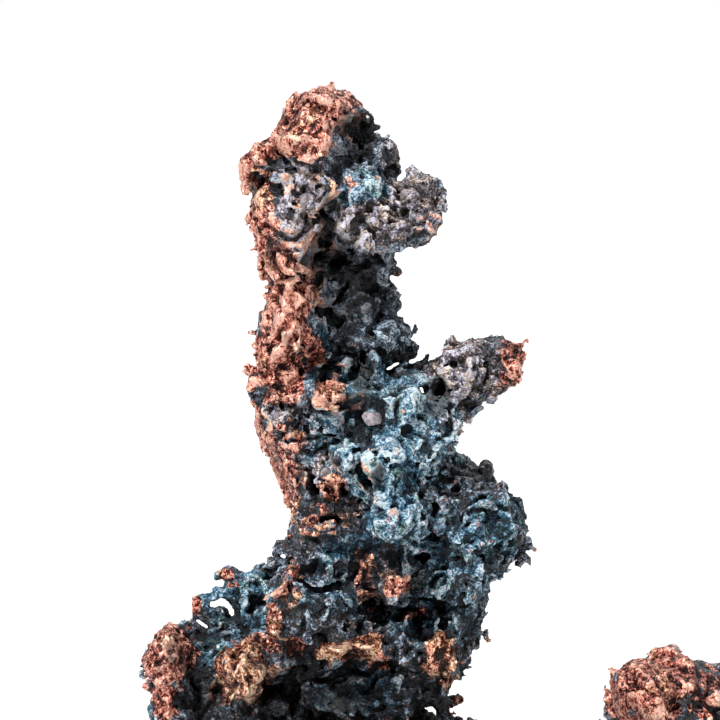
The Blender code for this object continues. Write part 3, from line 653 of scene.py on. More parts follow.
wiryPatches = {
    "neck": (0.3, 9.1, 5.2, 6, 0, 0.9),
    "neckLow": (4.5, 2, 4.4, 2.6, 0, 0.8),
    "headSide": (-0.3, 31.7, 2.3, 1.6, 0, 0.8),
    "underBrow": (3.2, 12.7, 2.6, 2.6, 0, 0.9),
    "bush": (11.4, -13.3, 3.6, 2.3, 0, 1),
    "body": (9.8, -20.8, 3.9, 3.9, 0, 0.5),
    "arch": (-16.6, -31.2, 6.5, 4.7, 0, 0.8),
    "low": (-20.8, -42.9, 3.1, 3.1, 0, 0.5),
}

# back patches, as x, z, half width, half height, lean and strength, seen along +Y
copperBack = {
    "crown": (-14, 103, 6, 3.5, 0, 0.9),
    "headRidge": (-17, 92, 3.5, 8, 14, 0.68),
    "nape": (-9, 84, 4, 5, 0, 0.6),
    "neckRidge": (-16, 74, 4, 8, -10, 0.9),
    "bladeLeft": (-20, 64, 4, 6, 10, 0.62),
    "spine": (-10, 58, 3.5, 9, 12, 0.68),
    "waist": (-16, 48, 5, 5, -18, 0.6),
    "boss": (-4, 44, 5, 4, 26, 0.9),
    "hip": (0, 36, 4, 6, 14, 0.6),
    "spur": (-30, 30, 7, 5, -24, 0.68),
    "knob": (31, 26, 8, 6, 10, 0.9),
    "footLeft": (-24, 12, 8, 5, -10, 0.62),
    "footMiddle": (0, 16, 7, 6, 16, 0.68),
    "footRight": (22, 10, 8, 5, 0, 0.62),
}
blueBack = {
    "head": (-8, 95, 7, 6, 0, 0.62),
    "collar": (-10, 71, 7, 4, 20, 0.9),
    "blade": (-3, 64, 6, 7, -20, 0.68),
    "body": (2, 52, 8, 6, 0, 0.68),
    "waistLow": (-12, 40, 8, 6, 0, 0.62),
    "hipLow": (-6, 28, 9, 5, 0, 0.68),
    "spur": (-22, 24, 8, 5, 0, 0.6),
    "gap": (14, 14, 8, 7, 0, 0.68),
    "foot": (-14, 8, 10, 5, 0, 0.6),
    "knobLow": (34, 12, 9, 6, 0, 0.6),
}
paleBack = {
    "headLow": (-14, 88, 7, 6, 0, 0.62),
    "arm": (4, 70, 7, 5, 0, 0.9),
    "shoulder": (-14, 66, 8, 7, 0, 0.6),
    "bodyLeft": (-14, 54, 7, 8, 0, 0.6),
    "low": (4, 40, 8, 7, 0, 0.6),
    "foot": (10, 6, 14, 5, 0, 0.6),
    "footLeft": (-34, 10, 8, 8, 0, 0.6),
}
goldBack = {
    "spur": (-30, 30, 7, 5, -24, 0.9),
    "spine": (-10, 58, 3.5, 9, 12, 0.6),
    "footMiddle": (0, 16, 7, 6, 16, 0.7),
}
# painted shade: the low back made darker
paintedShadeBack = {"low": (0, 14, 46, 22, 0, 0.4)}
wiryBack = {
    "nape": (-8, 82, 8, 7, 0, 0.68),
    "middle": (0, 56, 8, 7, 0, 0.6),
    "waist": (-14, 42, 8, 6, 0, 0.68),
    "low": (6, 18, 10, 8, 0, 0.62),
}


def patchMask(across, upward, patches, wobble, soft):
    # the strongest patch over each point, fading across its rim
    mask = np.zeros(across.shape, np.float32)
    for centreX, centreY, halfX, halfY, lean, strength in patches.values():
        turn = math.radians(lean)
        dx, dy = across - centreX, upward - centreY
        u = dx * math.cos(turn) + dy * math.sin(turn)
        v = -dx * math.sin(turn) + dy * math.cos(turn)
        radius = np.sqrt((u / halfX) ** 2 + (v / halfY) ** 2) + wobble
        mask = np.maximum(mask, strength * np.clip((1.0 + soft / 2 - radius) / soft, 0, 1))
    return mask


def sideMask(points, front, back, wobble, soft=patching["soft"]):
    # front patches on the front, back patches on the back, crossing over near the middle
    share = np.clip((points[..., 1] - patching["middle"]) / patching["crossing"] + 0.5, 0, 1)
    across, upward = frontView(points)
    mask = patchMask(across, upward, front, wobble, soft) * (1 - share)
    return mask + patchMask(points[..., 0], points[..., 2], back, patching["backRagged"] * wobble, soft) * share


def maskField(front, back):
    # a patch mask on a coarse lattice, carried to the whole grid and kept between 0 and 1
    step = voxel * grid["maskStep"]
    size = [int((highCorner[a] - lowCorner[a]) / step) + 4 for a in range(3)]
    places = gridPlaces(*[lowCorner[a] + step * (np.arange(size[a]) - 1) for a in range(3)])
    values = sideMask(places, front, back, 0.0, patching["coarseSoft"])
    matrices = [splineMatrix(axes[a], lowCorner[a] - step, step, size[a]) for a in range(3)]
    return np.clip(spread(values.astype(np.float32), matrices), 0, 1)


def nearCells(t, jitter):
    # the eight cells of a jittered lattice round each place: their index, the way from the cell's middle to
    # the place, and the square of that way
    base = np.floor(t - 0.5).astype(np.int32)
    for corner in itertools.product((0, 1), repeat=3):
        cell = base + np.array(corner, np.int32)
        index = tuple((cell % len(jitter)).T)
        way = t - cell - 0.5 - jitter[index]
        yield index, way, np.einsum("ij,ij->i", way, way)


# the lattices of grains and crags: cells before they repeat, how far a middle strays, the crags' levels, and a
# square that is farther than any cell's
lattice = {"grainCells": 24, "grainStray": 0.3, "cragCells": 20, "cragStray": 0.35, "cragLevel": 0.3,
           "farthest": 9.0}


def nodules(places, size, seed, least, most):
    # rounded grains packed in a jittered lattice: their height above the creases, for the band's voxels
    chance = np.random.default_rng(seed)
    cells, stray = [lattice["grainCells"]] * 3, lattice["grainStray"]
    jitter = chance.uniform(-stray, stray, (*cells, 3)).astype(np.float32)
    spans = chance.uniform(least, most, cells).astype(np.float32)
    height = np.zeros(len(places), np.float32)
    for index, _, square in nearCells(places / size, jitter):
        height = np.maximum(height, spans[index] ** 2 - square)
    return np.sqrt(np.maximum(height, 0)) * size


def crags(places, size, stretch, seed, slope):
    # broken facets: each cell of a jittered lattice is a plane with its own level and tilt;
    # returns the height on them and how far each place is from the nearest step between two of them
    chance = np.random.default_rng(seed)
    cells, stray, level = [lattice["cragCells"]] * 3, lattice["cragStray"], lattice["cragLevel"]
    jitter = chance.uniform(-stray, stray, (*cells, 3)).astype(np.float32)
    tilts = chance.normal(0, slope, (*cells, 3)).astype(np.float32)
    levels = chance.uniform(-level, level, cells).astype(np.float32)
    nearest = np.full(len(places), lattice["farthest"], np.float32)
    second = nearest.copy()
    height = np.zeros(len(places), np.float32)
    for index, way, square in nearCells(places / (size * np.array(stretch, np.float32)), jitter):
        closer = square < nearest
        second = np.where(closer, nearest, np.minimum(second, square))
        nearest = np.where(closer, square, nearest)
        height = np.where(closer, levels[index] + np.einsum("ij,ij->i", way, tilts[index]), height)
    return height * size, (np.sqrt(second) - np.sqrt(nearest)) * size


# the mounds that grip the quartz: their share of its radius and fillet, before and after the roughness,
# how far back they start and end, and the room round them
seats = {"early": (0.96, 1.2), "late": (0.72, 0.4), "start": 0.12, "end": 3.0, "before": 4, "beyond": 6}


def quartzSeat(name):
    # the middle and radius of a CAD quartz grain
    corners = np.array([v.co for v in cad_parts[name].data.vertices]) / millimetre
    corners = np.unique(np.round(corners, 3), axis=0)
    middle = corners.mean(axis=0)
    return middle, np.linalg.norm(corners - middle, axis=1).mean()


def seatQuartz(field, share, soft):
    # fills in round each quartz grain, so that the crust grips it
    for name in quartzNames:
        middle, radius = quartzSeat(name)
        start, end = (middle + np.array((0, seats[place], 0)) for place in ("start", "end"))
        part = boxPart(middle - seats["before"], middle + seats["beyond"])
        melt(field, part, lineDistance(partPlaces(part), start, end) - radius * share, soft)


# the roughness: how far each kind of noise moves the skin, and its spacing; below zero a fold is a ridge
rough = {
    "fill": 6, "foldLevel": 0.8, "copperLevel": 0.35, "copperGain": 2.5,
    "swell": (0.50, 4.4), "clumps": ((0.50, 2.6), (-0.36, 1.5)), "inset": 0.26, "floor": 2.2,
    "foilSwell": (0.40, 3.0), "foilInset": 0.42, "foilShare": 0.84, "foilCrag": 0.42,
    # amount, spacing, how far it is drawn out upright
    "foilFolds": {
        "foilLump": (0.50, 1.7, 1.0), "foilRidge": (-0.52, 1.3, 1.9), "foilWrinkle": (-0.25, 0.7, 1.5),
    },
    "band": 2.2, "drift": 1.8, "driftShifts": (0, 7654321, 15300017),
    # size, slope of the facets, their height, depth and width of the crease between them
    "crags": ((2.9, 0.55, 0.45, 0.35, 0.5), (1.4, 0.55, 0.4, 0.2, 0.3)), "cragBend": 0.35, "cragTall": 1.1,
    "poreSize": 1.2, "poreShares": (0.85, 0.5), "poreLevel": 1.45, "poreDark": 0.7, "poreSlope": 0.9,
    "poreDepth": 1.2,
    # spacing, radius, reach above the skin
    "thread": (1.7, 0.27, -0.45), "threadSlope": 0.62, "threadWiry": 0.9,
    # size, least and most radius as shares of it, height
    "grains": ((1.20, 0.40, 0.72, 0.42), (0.75, 0.38, 0.70, 0.42)), "grainMiddle": 0.42, "grainBand": 1.3,
    "warp": 0.35, "calm": (0.5, 0.6),
}


def folds(spacing, seed, upright=1.0):
    # rounded lumps between sharp creases: a level less the noise's distance from zero
    return rough["foldLevel"] - np.abs(noise(spacing, seed, upright))


def foilField(smooth):
    # bare copper: the smooth skin swollen, and drawn into folds
    swell, spacing = rough["foilSwell"]
    foil = smooth + rough["foilInset"] - swell * noise(spacing, seeds["foilSwell"])
    for name, (amount, spacing, upright) in rough["foilFolds"].items():
        foil += amount * folds(spacing, seeds[name], upright)
    return foil


def crustField(smooth):
    # crust: the smooth skin swollen, and broken into clumps
    swell, spacing = rough["swell"]
    crust = smooth - swell * noise(spacing, seeds["swell"])
    for seed, (amount, spacing) in enumerate(rough["clumps"], seeds["clumps"]):
        crust += amount * folds(spacing, seed)
    return crust


def openPores(crust, smooth, dark):
    # pores open under the crust, wider under the hollow shade patches
    main, fine = rough["poreShares"]
    pores = main * noise(rough["poreSize"], seeds["pores"]) + fine * wobbleB
    pores = pores - (rough["poreLevel"] - rough["poreDark"] * dark)
    np.maximum(crust, np.minimum(pores * rough["poreSlope"], smooth + rough["poreDepth"]), out=crust)


def drawThreads(crust, smooth, wiry):
    # curling threads run where two noises are both near zero
    spacing, radius, reach = rough["thread"]
    threads = noise(spacing, seeds["threadA"]) ** 2
    threads += noise(spacing, seeds["threadB"]) ** 2
    np.sqrt(threads, out=threads)
    threads *= spacing * rough["threadSlope"]
    threads -= radius
    np.maximum(threads, smooth - reach - rough["threadWiry"] * wiry, out=threads)
    np.minimum(crust, threads, out=crust)


def buildField():
    # the skin is where the last field is zero; returns the CAD's, the smooth one, the foil's share and the last
    plain = cadField()
    # round pits are mostly filled, as the forms and the noise give the real ones
    np.minimum(plain, blurred(plain, rough["fill"]), out=plain)
    print("cad distances", plain.shape)
    smooth = plain.copy()
    shapeForms(smooth)
    seatQuartz(smooth, *seats["early"])
    addStrands(smooth, drawing["bold"], np.inf)
    cutGaps(smooth, drawing["bold"], np.inf)
    print("forms placed")
    copper = maskField(copperPatches, copperBack)
    dark = maskField(hollowShadePatches, {})
    wiry = maskField(wiryPatches, wiryBack)
    mix = np.clip((copper - rough["copperLevel"]) * rough["copperGain"], 0, 1)

    # places near the skin, bent so that no step runs straight
    band = np.flatnonzero(np.abs(smooth.ravel()) < rough["band"])
    i, j, k = np.unravel_index(band, smooth.shape)
    places = np.stack([axes[0][i], axes[1][j], axes[2][k]], 1).astype(np.float32)
    drift = noise(rough["drift"], seeds["drift"]).ravel()
    drifts = np.stack([drift[(band + shift) % len(drift)] for shift in rough["driftShifts"]], 1)

    foil = foilField(smooth)
    crust = crustField(smooth)
    flat, flatFoil = crust.ravel(), foil.ravel()
    for seed, (size, slope, amount, crease, width) in enumerate(rough["crags"], seeds["crags"]):
        height, edge = crags(places + drifts * rough["cragBend"], size, (1, 1, rough["cragTall"]), seed, slope)
        step = crease * np.clip(1 - edge / width, 0, 1) - amount * height
        flat[band] += step
        flatFoil[band] += step * rough["foilCrag"]
    openPores(crust, smooth, dark)
    drawThreads(crust, smooth, wiry)
    np.minimum(crust, smooth + rough["floor"], out=crust)
    crust += rough["inset"]
    # grains cover it all
    near = np.abs(flat[band]) < rough["grainBand"]
    band, bent = band[near], (places + drifts * rough["warp"])[near]
    for seed, (size, low, high, amount) in enumerate(rough["grains"], seeds["grains"]):
        flat[band] += amount * (rough["grainMiddle"] * size - nodules(bent, size, seed, low, high))

    field = crust + (foil - crust) * mix * rough["foilShare"]
    # skin that faces left or right stays calmer, so that the outline keeps its shape
    calm, full = rough["calm"]
    facing = np.clip(np.abs(np.gradient(smooth, voxel, axis=1)) / full, 0, 1)
    field = smooth + (field - smooth) * (calm + (1 - calm) * facing)
    seatQuartz(field, *seats["late"])
    addStrands(field, 0, drawing["bold"])
    cutGaps(field, 0, drawing["bold"])
    # the resting face stays level
    field = np.maximum(field, -axes[2][None, None, :].astype(np.float32))
    return plain, smooth, mix, field


plainField, smoothField, foilShare, field = buildField()
softField = blurred(field, grid["softBlur"])
wideField = blurred(field, grid["wideBlur"])
print("field built")


# pieces of the nugget: box in millimetres, and the share of triangles kept
pieces = {
    "nugget_foot": ((-60, -60, -5), (60, 60, 22), 0.27),
    "nugget_knob": ((12, -60, 22), (60, 60, 42), 0.68),
    "nugget_spur": ((-60, -60, 22), (-22, 60, 42), 0.68),
    "nugget_root": ((-22, -60, 22), (12, 60, 33), 0.62),
    "nugget_trunk": ((-22, -60, 33), (12, 60, 42), 0.62),
    "nugget_waist": ((-60, -60, 42), (60, 60, 50), 0.66),
    "nugget_body": ((-60, -60, 50), (60, 60, 58), 0.66),
    "nugget_shoulder": ((-60, -60, 58), (60, 60, 72), 0.66),
    "nugget_neck": ((-60, -60, 72), (60, 60, 88), 0.68),
    "nugget_head": ((-60, -60, 88), (60, 60, 130), 0.68),
}
# neighbours run into each other, and share one random shift of each place: its spread, how many there are, how
# finely places are told apart, and the primes that pick one; bodies below the least volume are dropped
joints = {"spread": 0.04, "shifts": 4093, "fineness": 8, "primes": (7919, 104729, 1299709), "leastVolume": 1.5}


def cutBlock(low, high):
    # the part of the field in a box, running on a little way into its neighbours and closed there
    first, last = (np.round((np.array(corner) - lowCorner) / voxel).astype(int) for corner in (low, high))
    first = np.clip(first - grid["lap"], 0, counts - 1)
    last = np.clip(last + grid["lap"], 0, counts - 1)
    block = field[first[0]:last[0] + 1, first[1]:last[1] + 1, first[2]:last[2] + 1].copy()
    for axis in range(3):
        for side in (0, -1):
            where = [slice(None)] * 3
            where[axis] = side
            block[tuple(where)] = np.maximum(block[tuple(where)], voxel * 0.5)
    return first, block


def skin(block):
    # the zero surface of a block, as points in voxels and quads that face outward
    volume = vdb.FloatGrid(background=1.0)
    volume.copyFromArray(block)
    points, _, quads = volume.convertToPolygons(isovalue=0.0, adaptivity=0.0)
    return points.astype(np.float64), quads.astype(np.int64)


def mainBodies(points, quads, least):
    # drops loose specks and closed bubbles: bodies that enclose less than the least volume
    label = np.arange(len(points))
    while True:
        lowest = label[quads].min(axis=1)
        fresh = label.copy()
        for corner in range(4):
            np.minimum.at(fresh, quads[:, corner], lowest)
        fresh = fresh[fresh]
        fresh = fresh[fresh]
        if np.array_equal(fresh, label):
            break
        label = fresh
    a, b, c, d = (points[quads[:, k]] for k in range(4))
    volume = (np.einsum("ij,ij->i", a, np.cross(b, c)) + np.einsum("ij,ij->i", a, np.cross(c, d))) / 6
    body = label[quads[:, 0]]
    total = np.bincount(body, weights=volume, minlength=len(points))
    quads = quads[total[body] > least]
    used, quads = np.unique(quads, return_inverse=True)
    return points[used], quads.reshape(-1, 4)


def addObject(name, data):
    obj = bpy.data.objects.new(name, data)
    bpy.context.scene.collection.objects.link(obj)
    return obj


def meshFromArrays(name, points, faces):
    # a mesh of equal-sided faces from whole arrays; points in millimetres
    mesh = bpy.data.meshes.new(name)
    mesh.vertices.add(len(points))
    mesh.vertices.foreach_set("co", (points * millimetre).astype(np.float32).ravel())
    mesh.loops.add(faces.size)
    mesh.loops.foreach_set("vertex_index", faces.astype(np.int32).ravel())
    mesh.polygons.add(len(faces))
    mesh.polygons.foreach_set("loop_start", np.arange(0, faces.size, faces.shape[1], dtype=np.int32))
    mesh.update(calc_edges=True)
    mesh.validate()
    return addObject(name, mesh)


def thin(obj, kept):
    # merges the flattest faces until the given share is left
    modifier = obj.modifiers.new("thin", "DECIMATE")
    modifier.ratio = kept
    modifier.use_collapse_triangulate = True
    bpy.context.view_layer.update()
    graph = bpy.context.evaluated_depsgraph_get()
    mesh = bpy.data.meshes.new_from_object(obj.evaluated_get(graph))
    obj.modifiers.clear()
    obj.data = mesh


def paint(mesh):
    # how much of each coat covers each point, its painted light and shade, and whether it stands out or lies in
    # a crease
    points = np.empty(len(mesh.vertices) * 3, np.float32)
    mesh.vertices.foreach_get("co", points)
    points = points.reshape(-1, 3).astype(np.float64) / millimetre
    broad, fine = patching["ragged"]
    wobble = broad * sample(wobbleA, points) + fine * sample(wobbleB, points)
    shares = {
        "copper": sideMask(points, copperPatches, copperBack, wobble),
        "blue": sideMask(points, bluePatches, blueBack, wobble),
        "pale": sideMask(points, palePatches, paleBack, wobble),
        "gold": sideMask(points, goldPatches, goldBack, wobble),
        # painted light less painted shade
        "light": sideMask(points, paintedLightPatches, {}, wobble) - sideMask(points, paintedShadePatches, paintedShadeBack, wobble),
        # painted shade in hollows
        "dark": sideMask(points, hollowShadePatches, {}, wobble),
        "raised": sample(softField, points),
        "bulge": sample(wideField, points),
        "depth": sample(smoothField, points),
        "hollow": sample(plainField, points),
    }
    for name, values in shares.items():
        mesh.attributes.new(name, "FLOAT", "POINT").data.foreach_set("value", values.astype(np.float32))
    # foil is smooth to the eye, crust is faceted
    foil = sample(foilShare, points)
    triangles = np.empty(len(mesh.loops), np.int32)
    mesh.loops.foreach_get("vertex_index", triangles)
    flat = foil[triangles.reshape(-1, 3)].mean(axis=1) < 0.5
    mesh.attributes.new("sharp_face", "BOOLEAN", "FACE").data.foreach_set("value", flat)


def buildNugget():
    # cuts, skins, thins and paints each piece
    shifts = np.random.default_rng(seeds["joints"]).normal(0, joints["spread"], (joints["shifts"], 3))
    built = []
    for name, (low, high, kept) in pieces.items():
        first, block = cutBlock(low, high)
        points, quads = mainBodies(*skin(block), joints["leastVolume"] / voxel**3)
        points += first
        # a random shift that depends on the place alone, so that neighbours still meet
        cell = np.round(points * joints["fineness"]).astype(np.int64)
        points = lowCorner + points * voxel
        moved = points + shifts[(cell @ np.array(joints["primes"])) % len(shifts)]
        # the resting face stays level
        moved[:, 2] = np.where(points[:, 2] < voxel, points[:, 2], moved[:, 2])
        obj = meshFromArrays(name, moved, quads)
        thin(obj, kept)
        paint(obj.data)
        built.append(obj)
        print(name, len(obj.data.polygons), "faces")
    return built


# a quartz grain, as shares of the CAD grain's radius: its ball, the planes that cut it and how far out they
# lie, the least slope that a plane cuts, the farthest that a corner stays out, and how far it is set back;
# a nick is in millimetres
quartz = {
    "subdivisions": 3, "swell": 0.88, "planes": 10, "nearest": 0.6, "farthest": 1.0, "facing": 0.05, "uncut": 9,
    "corner": 1.2, "nick": 0.03, "sunk": 0.25,
}


def buildQuartz(name, seed):
    # a CAD crystal broken along a few flat faces, like a grain worn by the copper that grew round it
    middle, radius = quartzSeat(name)
    mesh = bpy.data.meshes.new(name + "_grain")
    ball = bmesh.new()
    bmesh.ops.create_icosphere(ball, subdivisions=quartz["subdivisions"], radius=1.0)
    ball.to_mesh(mesh)
    ball.free()
    points = np.empty(len(mesh.vertices) * 3)
    mesh.vertices.foreach_get("co", points)
    points = points.reshape(-1, 3)
    chance = np.random.default_rng(seed)
    normals = chance.normal(size=(quartz["planes"], 3))
    normals /= np.linalg.norm(normals, axis=1, keepdims=True)
    cuts = chance.uniform(quartz["nearest"], quartz["farthest"], quartz["planes"])
    facing = points @ normals.T
    least = quartz["facing"]
    reach = np.where(facing > least, cuts / np.maximum(facing, least), quartz["uncut"]).min(axis=1)
    points = points * np.minimum(reach, quartz["corner"])[:, None] * radius * quartz["swell"]
    points += chance.normal(0, quartz["nick"], points.shape)
    middle = middle + np.array((0, quartz["sunk"] * radius, 0))
    mesh.vertices.foreach_set("co", ((middle + points) * millimetre).astype(np.float32).ravel())
    mesh.update()
    return addObject(name + "_grain", mesh)


def addNode(tree, kind, **settings):
    node = tree.nodes.new(kind)
    for key, value in settings.items():
        setattr(node, key, value)
    return node


def plug(tree, target, source):
    # a socket takes a link from another socket, or a constant value
    if isinstance(source, bpy.types.NodeSocket):
        tree.links.new(source, target)
    elif target.type == "RGBA":
        target.default_value = (*source, 1.0)
    else:
        target.default_value = source


def mathNode(tree, operation, a, b=None, c=None, clamp=False):
    node = addNode(tree, "ShaderNodeMath", operation=operation, use_clamp=clamp)
    for socket, value in zip(node.inputs, (a, b, c)):
        if value is not None:
            plug(tree, socket, value)
    return node.outputs[0]


def times(tree, a, b):
    return mathNode(tree, "MULTIPLY", a, b)


def plusTimes(tree, total, value, share):
    # total + value x share
    return mathNode(tree, "MULTIPLY_ADD", value, share, total)


def mixed(tree, kind, share, a, b):
    node = addNode(tree, "ShaderNodeMix", data_type=kind, clamp_factor=True)
    for label, value in (("Factor", share), ("A", a), ("B", b)):
        plug(tree, node.inputs[label], value)
    return node.outputs["Result"]


def mixColour(tree, share, a, b):
    return mixed(tree, "RGBA", share, a, b)


def mixValue(tree, share, a, b):
    return mixed(tree, "FLOAT", share, a, b)


def ramp(tree, value, low, high, kind="SMOOTHSTEP"):
    # 0 below low, 1 above high
    node = addNode(tree, "ShaderNodeMapRange", interpolation_type=kind, clamp=True)
    for label, source in (("Value", value), ("From Min", low), ("From Max", high)):
        plug(tree, node.inputs[label], source)
    return node.outputs["Result"]


def toneRamp(tree, value, stops):
    # a colour for each tone, from painted shade in creases to painted light on crests
    node = addNode(tree, "ShaderNodeValToRGB")
    elements = node.color_ramp.elements
    while len(elements) < len(stops):
        elements.new(0.5)
    for element, (position, colour) in zip(elements, stops):
        element.position = position
        element.color = (*colour, 1.0)
    plug(tree, node.inputs["Fac"], value)
    return node.outputs["Color"]


def attributeNode(tree, name):
    return addNode(tree, "ShaderNodeAttribute", attribute_name=name, attribute_type="GEOMETRY").outputs["Fac"]


def noiseNode(tree, place, scale, detail=3.0, roughness=0.55, distortion=0.0):
    node = addNode(tree, "ShaderNodeTexNoise", noise_dimensions="3D")
    for label, value in (("Vector", place), ("Scale", scale), ("Detail", detail), ("Roughness", roughness),
                         ("Distortion", distortion)):
        plug(tree, node.inputs[label], value)
    return node.outputs["Fac"]


def creaseNode(tree, place, scale, width, detail=1.0, distortion=0.6):
    # 1 on the thin winding lines where a noise crosses its middle, 0 away from them
    offset = mathNode(tree, "SUBTRACT", noiseNode(tree, place, scale, detail, 0.5, distortion), 0.5)
    return ramp(tree, mathNode(tree, "ABSOLUTE", offset), width, 0.0)


def placeNode(tree):
    # the place on the object, in millimetres
    node = addNode(tree, "ShaderNodeVectorMath", operation="SCALE")
    plug(tree, node.inputs[0], addNode(tree, "ShaderNodeTexCoord").outputs["Object"])
    node.inputs["Scale"].default_value = 1 / millimetre
    return node.outputs[0]


def bumpNode(tree, height, distance, strength):
    # normals tilted as if the height stood out by up to the distance in millimetres
    node = addNode(tree, "ShaderNodeBump")
    for label, value in (("Height", height), ("Distance", distance * millimetre), ("Strength", strength)):
        plug(tree, node.inputs[label], value)
    return node.outputs["Normal"]


def groupTree(name, inputs, outputs):
    # a node group of plain values: its inputs with their defaults, or None for a vector, and its outputs
    tree = bpy.data.node_groups.new(name, "ShaderNodeTree")
    for label, default in inputs.items():
        kind = "NodeSocketVector" if default is None else "NodeSocketFloat"
        socket = tree.interface.new_socket(label, in_out="INPUT", socket_type=kind)
        if default is not None:
            socket.default_value = default
    for label in outputs:
        tree.interface.new_socket(label, in_out="OUTPUT", socket_type="NodeSocketFloat")
    return tree, tree.nodes.new("NodeGroupInput").outputs, tree.nodes.new("NodeGroupOutput").inputs


def newMaterial(name):
    material = bpy.data.materials.new(name)
    material.use_nodes = True
    return material, material.node_tree, material.node_tree.nodes["Principled BSDF"]


# crinkled crust: cells and creases for each millimetre, how wide a crease is, and what each adds to the height
crinkle = {"Large": 1.1, "Small": 2.3, "Fine": 4.5, "width": 0.13, "large": 0.40, "small": 0.35, "fine": 0.5}


def grainGroup():
    # crinkled crust: thin rims at two sizes over fine speckle, and a random tone for each small grain
    inputs = {"Place": None, "Large": crinkle["Large"], "Small": crinkle["Small"], "Fine": crinkle["Fine"]}
    tree, inside, outside = groupTree("grain", inputs, ("Height", "Tone", "Patch", "Speckle"))
    place = inside["Place"]
    for size, label in (("Small", "Tone"), ("Large", "Patch")):
        node = addNode(tree, "ShaderNodeTexVoronoi", feature="F1")
        plug(tree, node.inputs["Vector"], place)
        plug(tree, node.inputs["Scale"], inside[size])
        split = addNode(tree, "ShaderNodeSeparateColor")
        plug(tree, split.inputs[0], node.outputs["Color"])
        plug(tree, outside[label], split.outputs[0])
    fine = noiseNode(tree, place, inside["Fine"], 2.0, 0.65)
    height = times(tree, fine, crinkle["fine"])
    for size, share in (("Small", crinkle["small"]), ("Large", crinkle["large"])):
        height = plusTimes(tree, height, creaseNode(tree, place, inside[size], crinkle["width"]), share)
    plug(tree, outside["Height"], height)
    plug(tree, outside["Speckle"], fine)
    return tree


# a coat's edge: how far speckle breaks it up, the level it starts from, and how soft it is
coatEdge = {"speckle": 1.3, "start": -1.07, "soft": 0.14}


def wearGroup():
    # a coat's true edge: its painted share broken up by speckle, and worn through where the skin stands out:
    # (share + 1.3 speckle + raised x wear - 1.07) / soft
    inputs = {"Share": 0.0, "Speckle": 0.5, "Raised": 0.0, "Wear": 0.0, "Soft": coatEdge["soft"]}
    tree, inside, outside = groupTree("coatEdge", inputs, ("Mask",))
    total = mathNode(tree, "ADD", inside["Share"], coatEdge["start"])
    total = plusTimes(tree, total, inside["Speckle"], coatEdge["speckle"])
    total = plusTimes(tree, total, inside["Raised"], inside["Wear"])
    plug(tree, outside["Mask"], mathNode(tree, "DIVIDE", total, inside["Soft"], clamp=True))
    return tree


# the colours of each coat, from painted shade in its creases to painted light on its crests
coats = {
    "oxide": ((0.18, (0.002, 0.002, 0.003)), (0.42, (0.008, 0.011, 0.018)), (0.62, (0.031, 0.046, 0.070)),
              (0.80, (0.115, 0.155, 0.210)), (0.96, (0.36, 0.42, 0.49))),
    "rust": ((0.15, (0.006, 0.003, 0.002)), (0.42, (0.050, 0.022, 0.015)), (0.68, (0.17, 0.075, 0.050)),
             (1.0, (0.52, 0.30, 0.21))),
    "lavender": ((0.12, (0.004, 0.003, 0.004)), (0.38, (0.052, 0.043, 0.053)), (0.62, (0.165, 0.142, 0.172)),
                 (0.84, (0.34, 0.305, 0.36)), (1.0, (0.64, 0.60, 0.68))),
    "tan": ((0.12, (0.005, 0.003, 0.002)), (0.38, (0.066, 0.040, 0.030)), (0.62, (0.19, 0.125, 0.10)),
            (0.84, (0.40, 0.30, 0.245)), (1.0, (0.74, 0.64, 0.55))),
    "azure": ((0.10, (0.002, 0.010, 0.020)), (0.34, (0.015, 0.065, 0.115)), (0.60, (0.070, 0.190, 0.290)),
              (0.84, (0.24, 0.41, 0.52)), (1.0, (0.56, 0.68, 0.75))),
    "ice": ((0.10, (0.006, 0.012, 0.018)), (0.34, (0.045, 0.072, 0.098)), (0.60, (0.150, 0.20, 0.245)),
            (0.84, (0.33, 0.40, 0.45)), (1.0, (0.62, 0.69, 0.73))),
    "teal": ((0.12, (0.002, 0.010, 0.012)), (0.38, (0.011, 0.055, 0.066)), (0.62, (0.056, 0.15, 0.165)),
             (0.84, (0.20, 0.34, 0.345)), (1.0, (0.50, 0.62, 0.61))),
    "copper": ((0.14, (0.006, 0.001, 0.001)), (0.36, (0.085, 0.017, 0.013)), (0.58, (0.43, 0.108, 0.074)),
               (0.82, (0.80, 0.31, 0.22)), (1.0, (0.96, 0.58, 0.45))),
    "gold": ((0.10, (0.010, 0.003, 0.002)), (0.36, (0.085, 0.028, 0.013)), (0.60, (0.31, 0.108, 0.054)),
             (0.84, (0.72, 0.34, 0.18)), (1.0, (1.0, 0.72, 0.50))),
    "patina": ((0.10, (0.006, 0.003, 0.003)), (0.35, (0.052, 0.025, 0.026)), (0.60, (0.16, 0.084, 0.082)),
               (0.84, (0.36, 0.22, 0.21)), (1.0, (0.66, 0.49, 0.46))),
}
# the colours that mottle a coat: their pattern, where in it they begin and are full, and how strong they get
mottles = {
    "oxide": {"rust": ("mottled", 0.66, 0.74, 0.6)},
    "lavender": {"tan": ("mottled", 0.54, 0.66, 1.0)},
    "azure": {"teal": ("broad", 0.52, 0.62, 1.0), "ice": ("mottled", 0.55, 0.72, 1.0)},
    "copper": {"gold": ("golden", 0.58, 0.72, 0.85), "patina": ("dull", 0.50, 0.60, 0.4)},
}
# painted light and shade, how light a spot is: a base, painted light on crests, swells and crinkle rims,
# painted shade along cracks, and what the painted light and shade patches add
tones = {
    "base": -0.887, "crest": (-0.35, 0.50, 0.64), "swell": (-0.5, 1.0, 0.32), "height": 0.90, "cracks": -0.40,
    "light": 0.30, "chance": 0.14, "crust": 0.39, "foil": -0.465, "foilTone": 1.05, "wrinkle": 2.0,
}
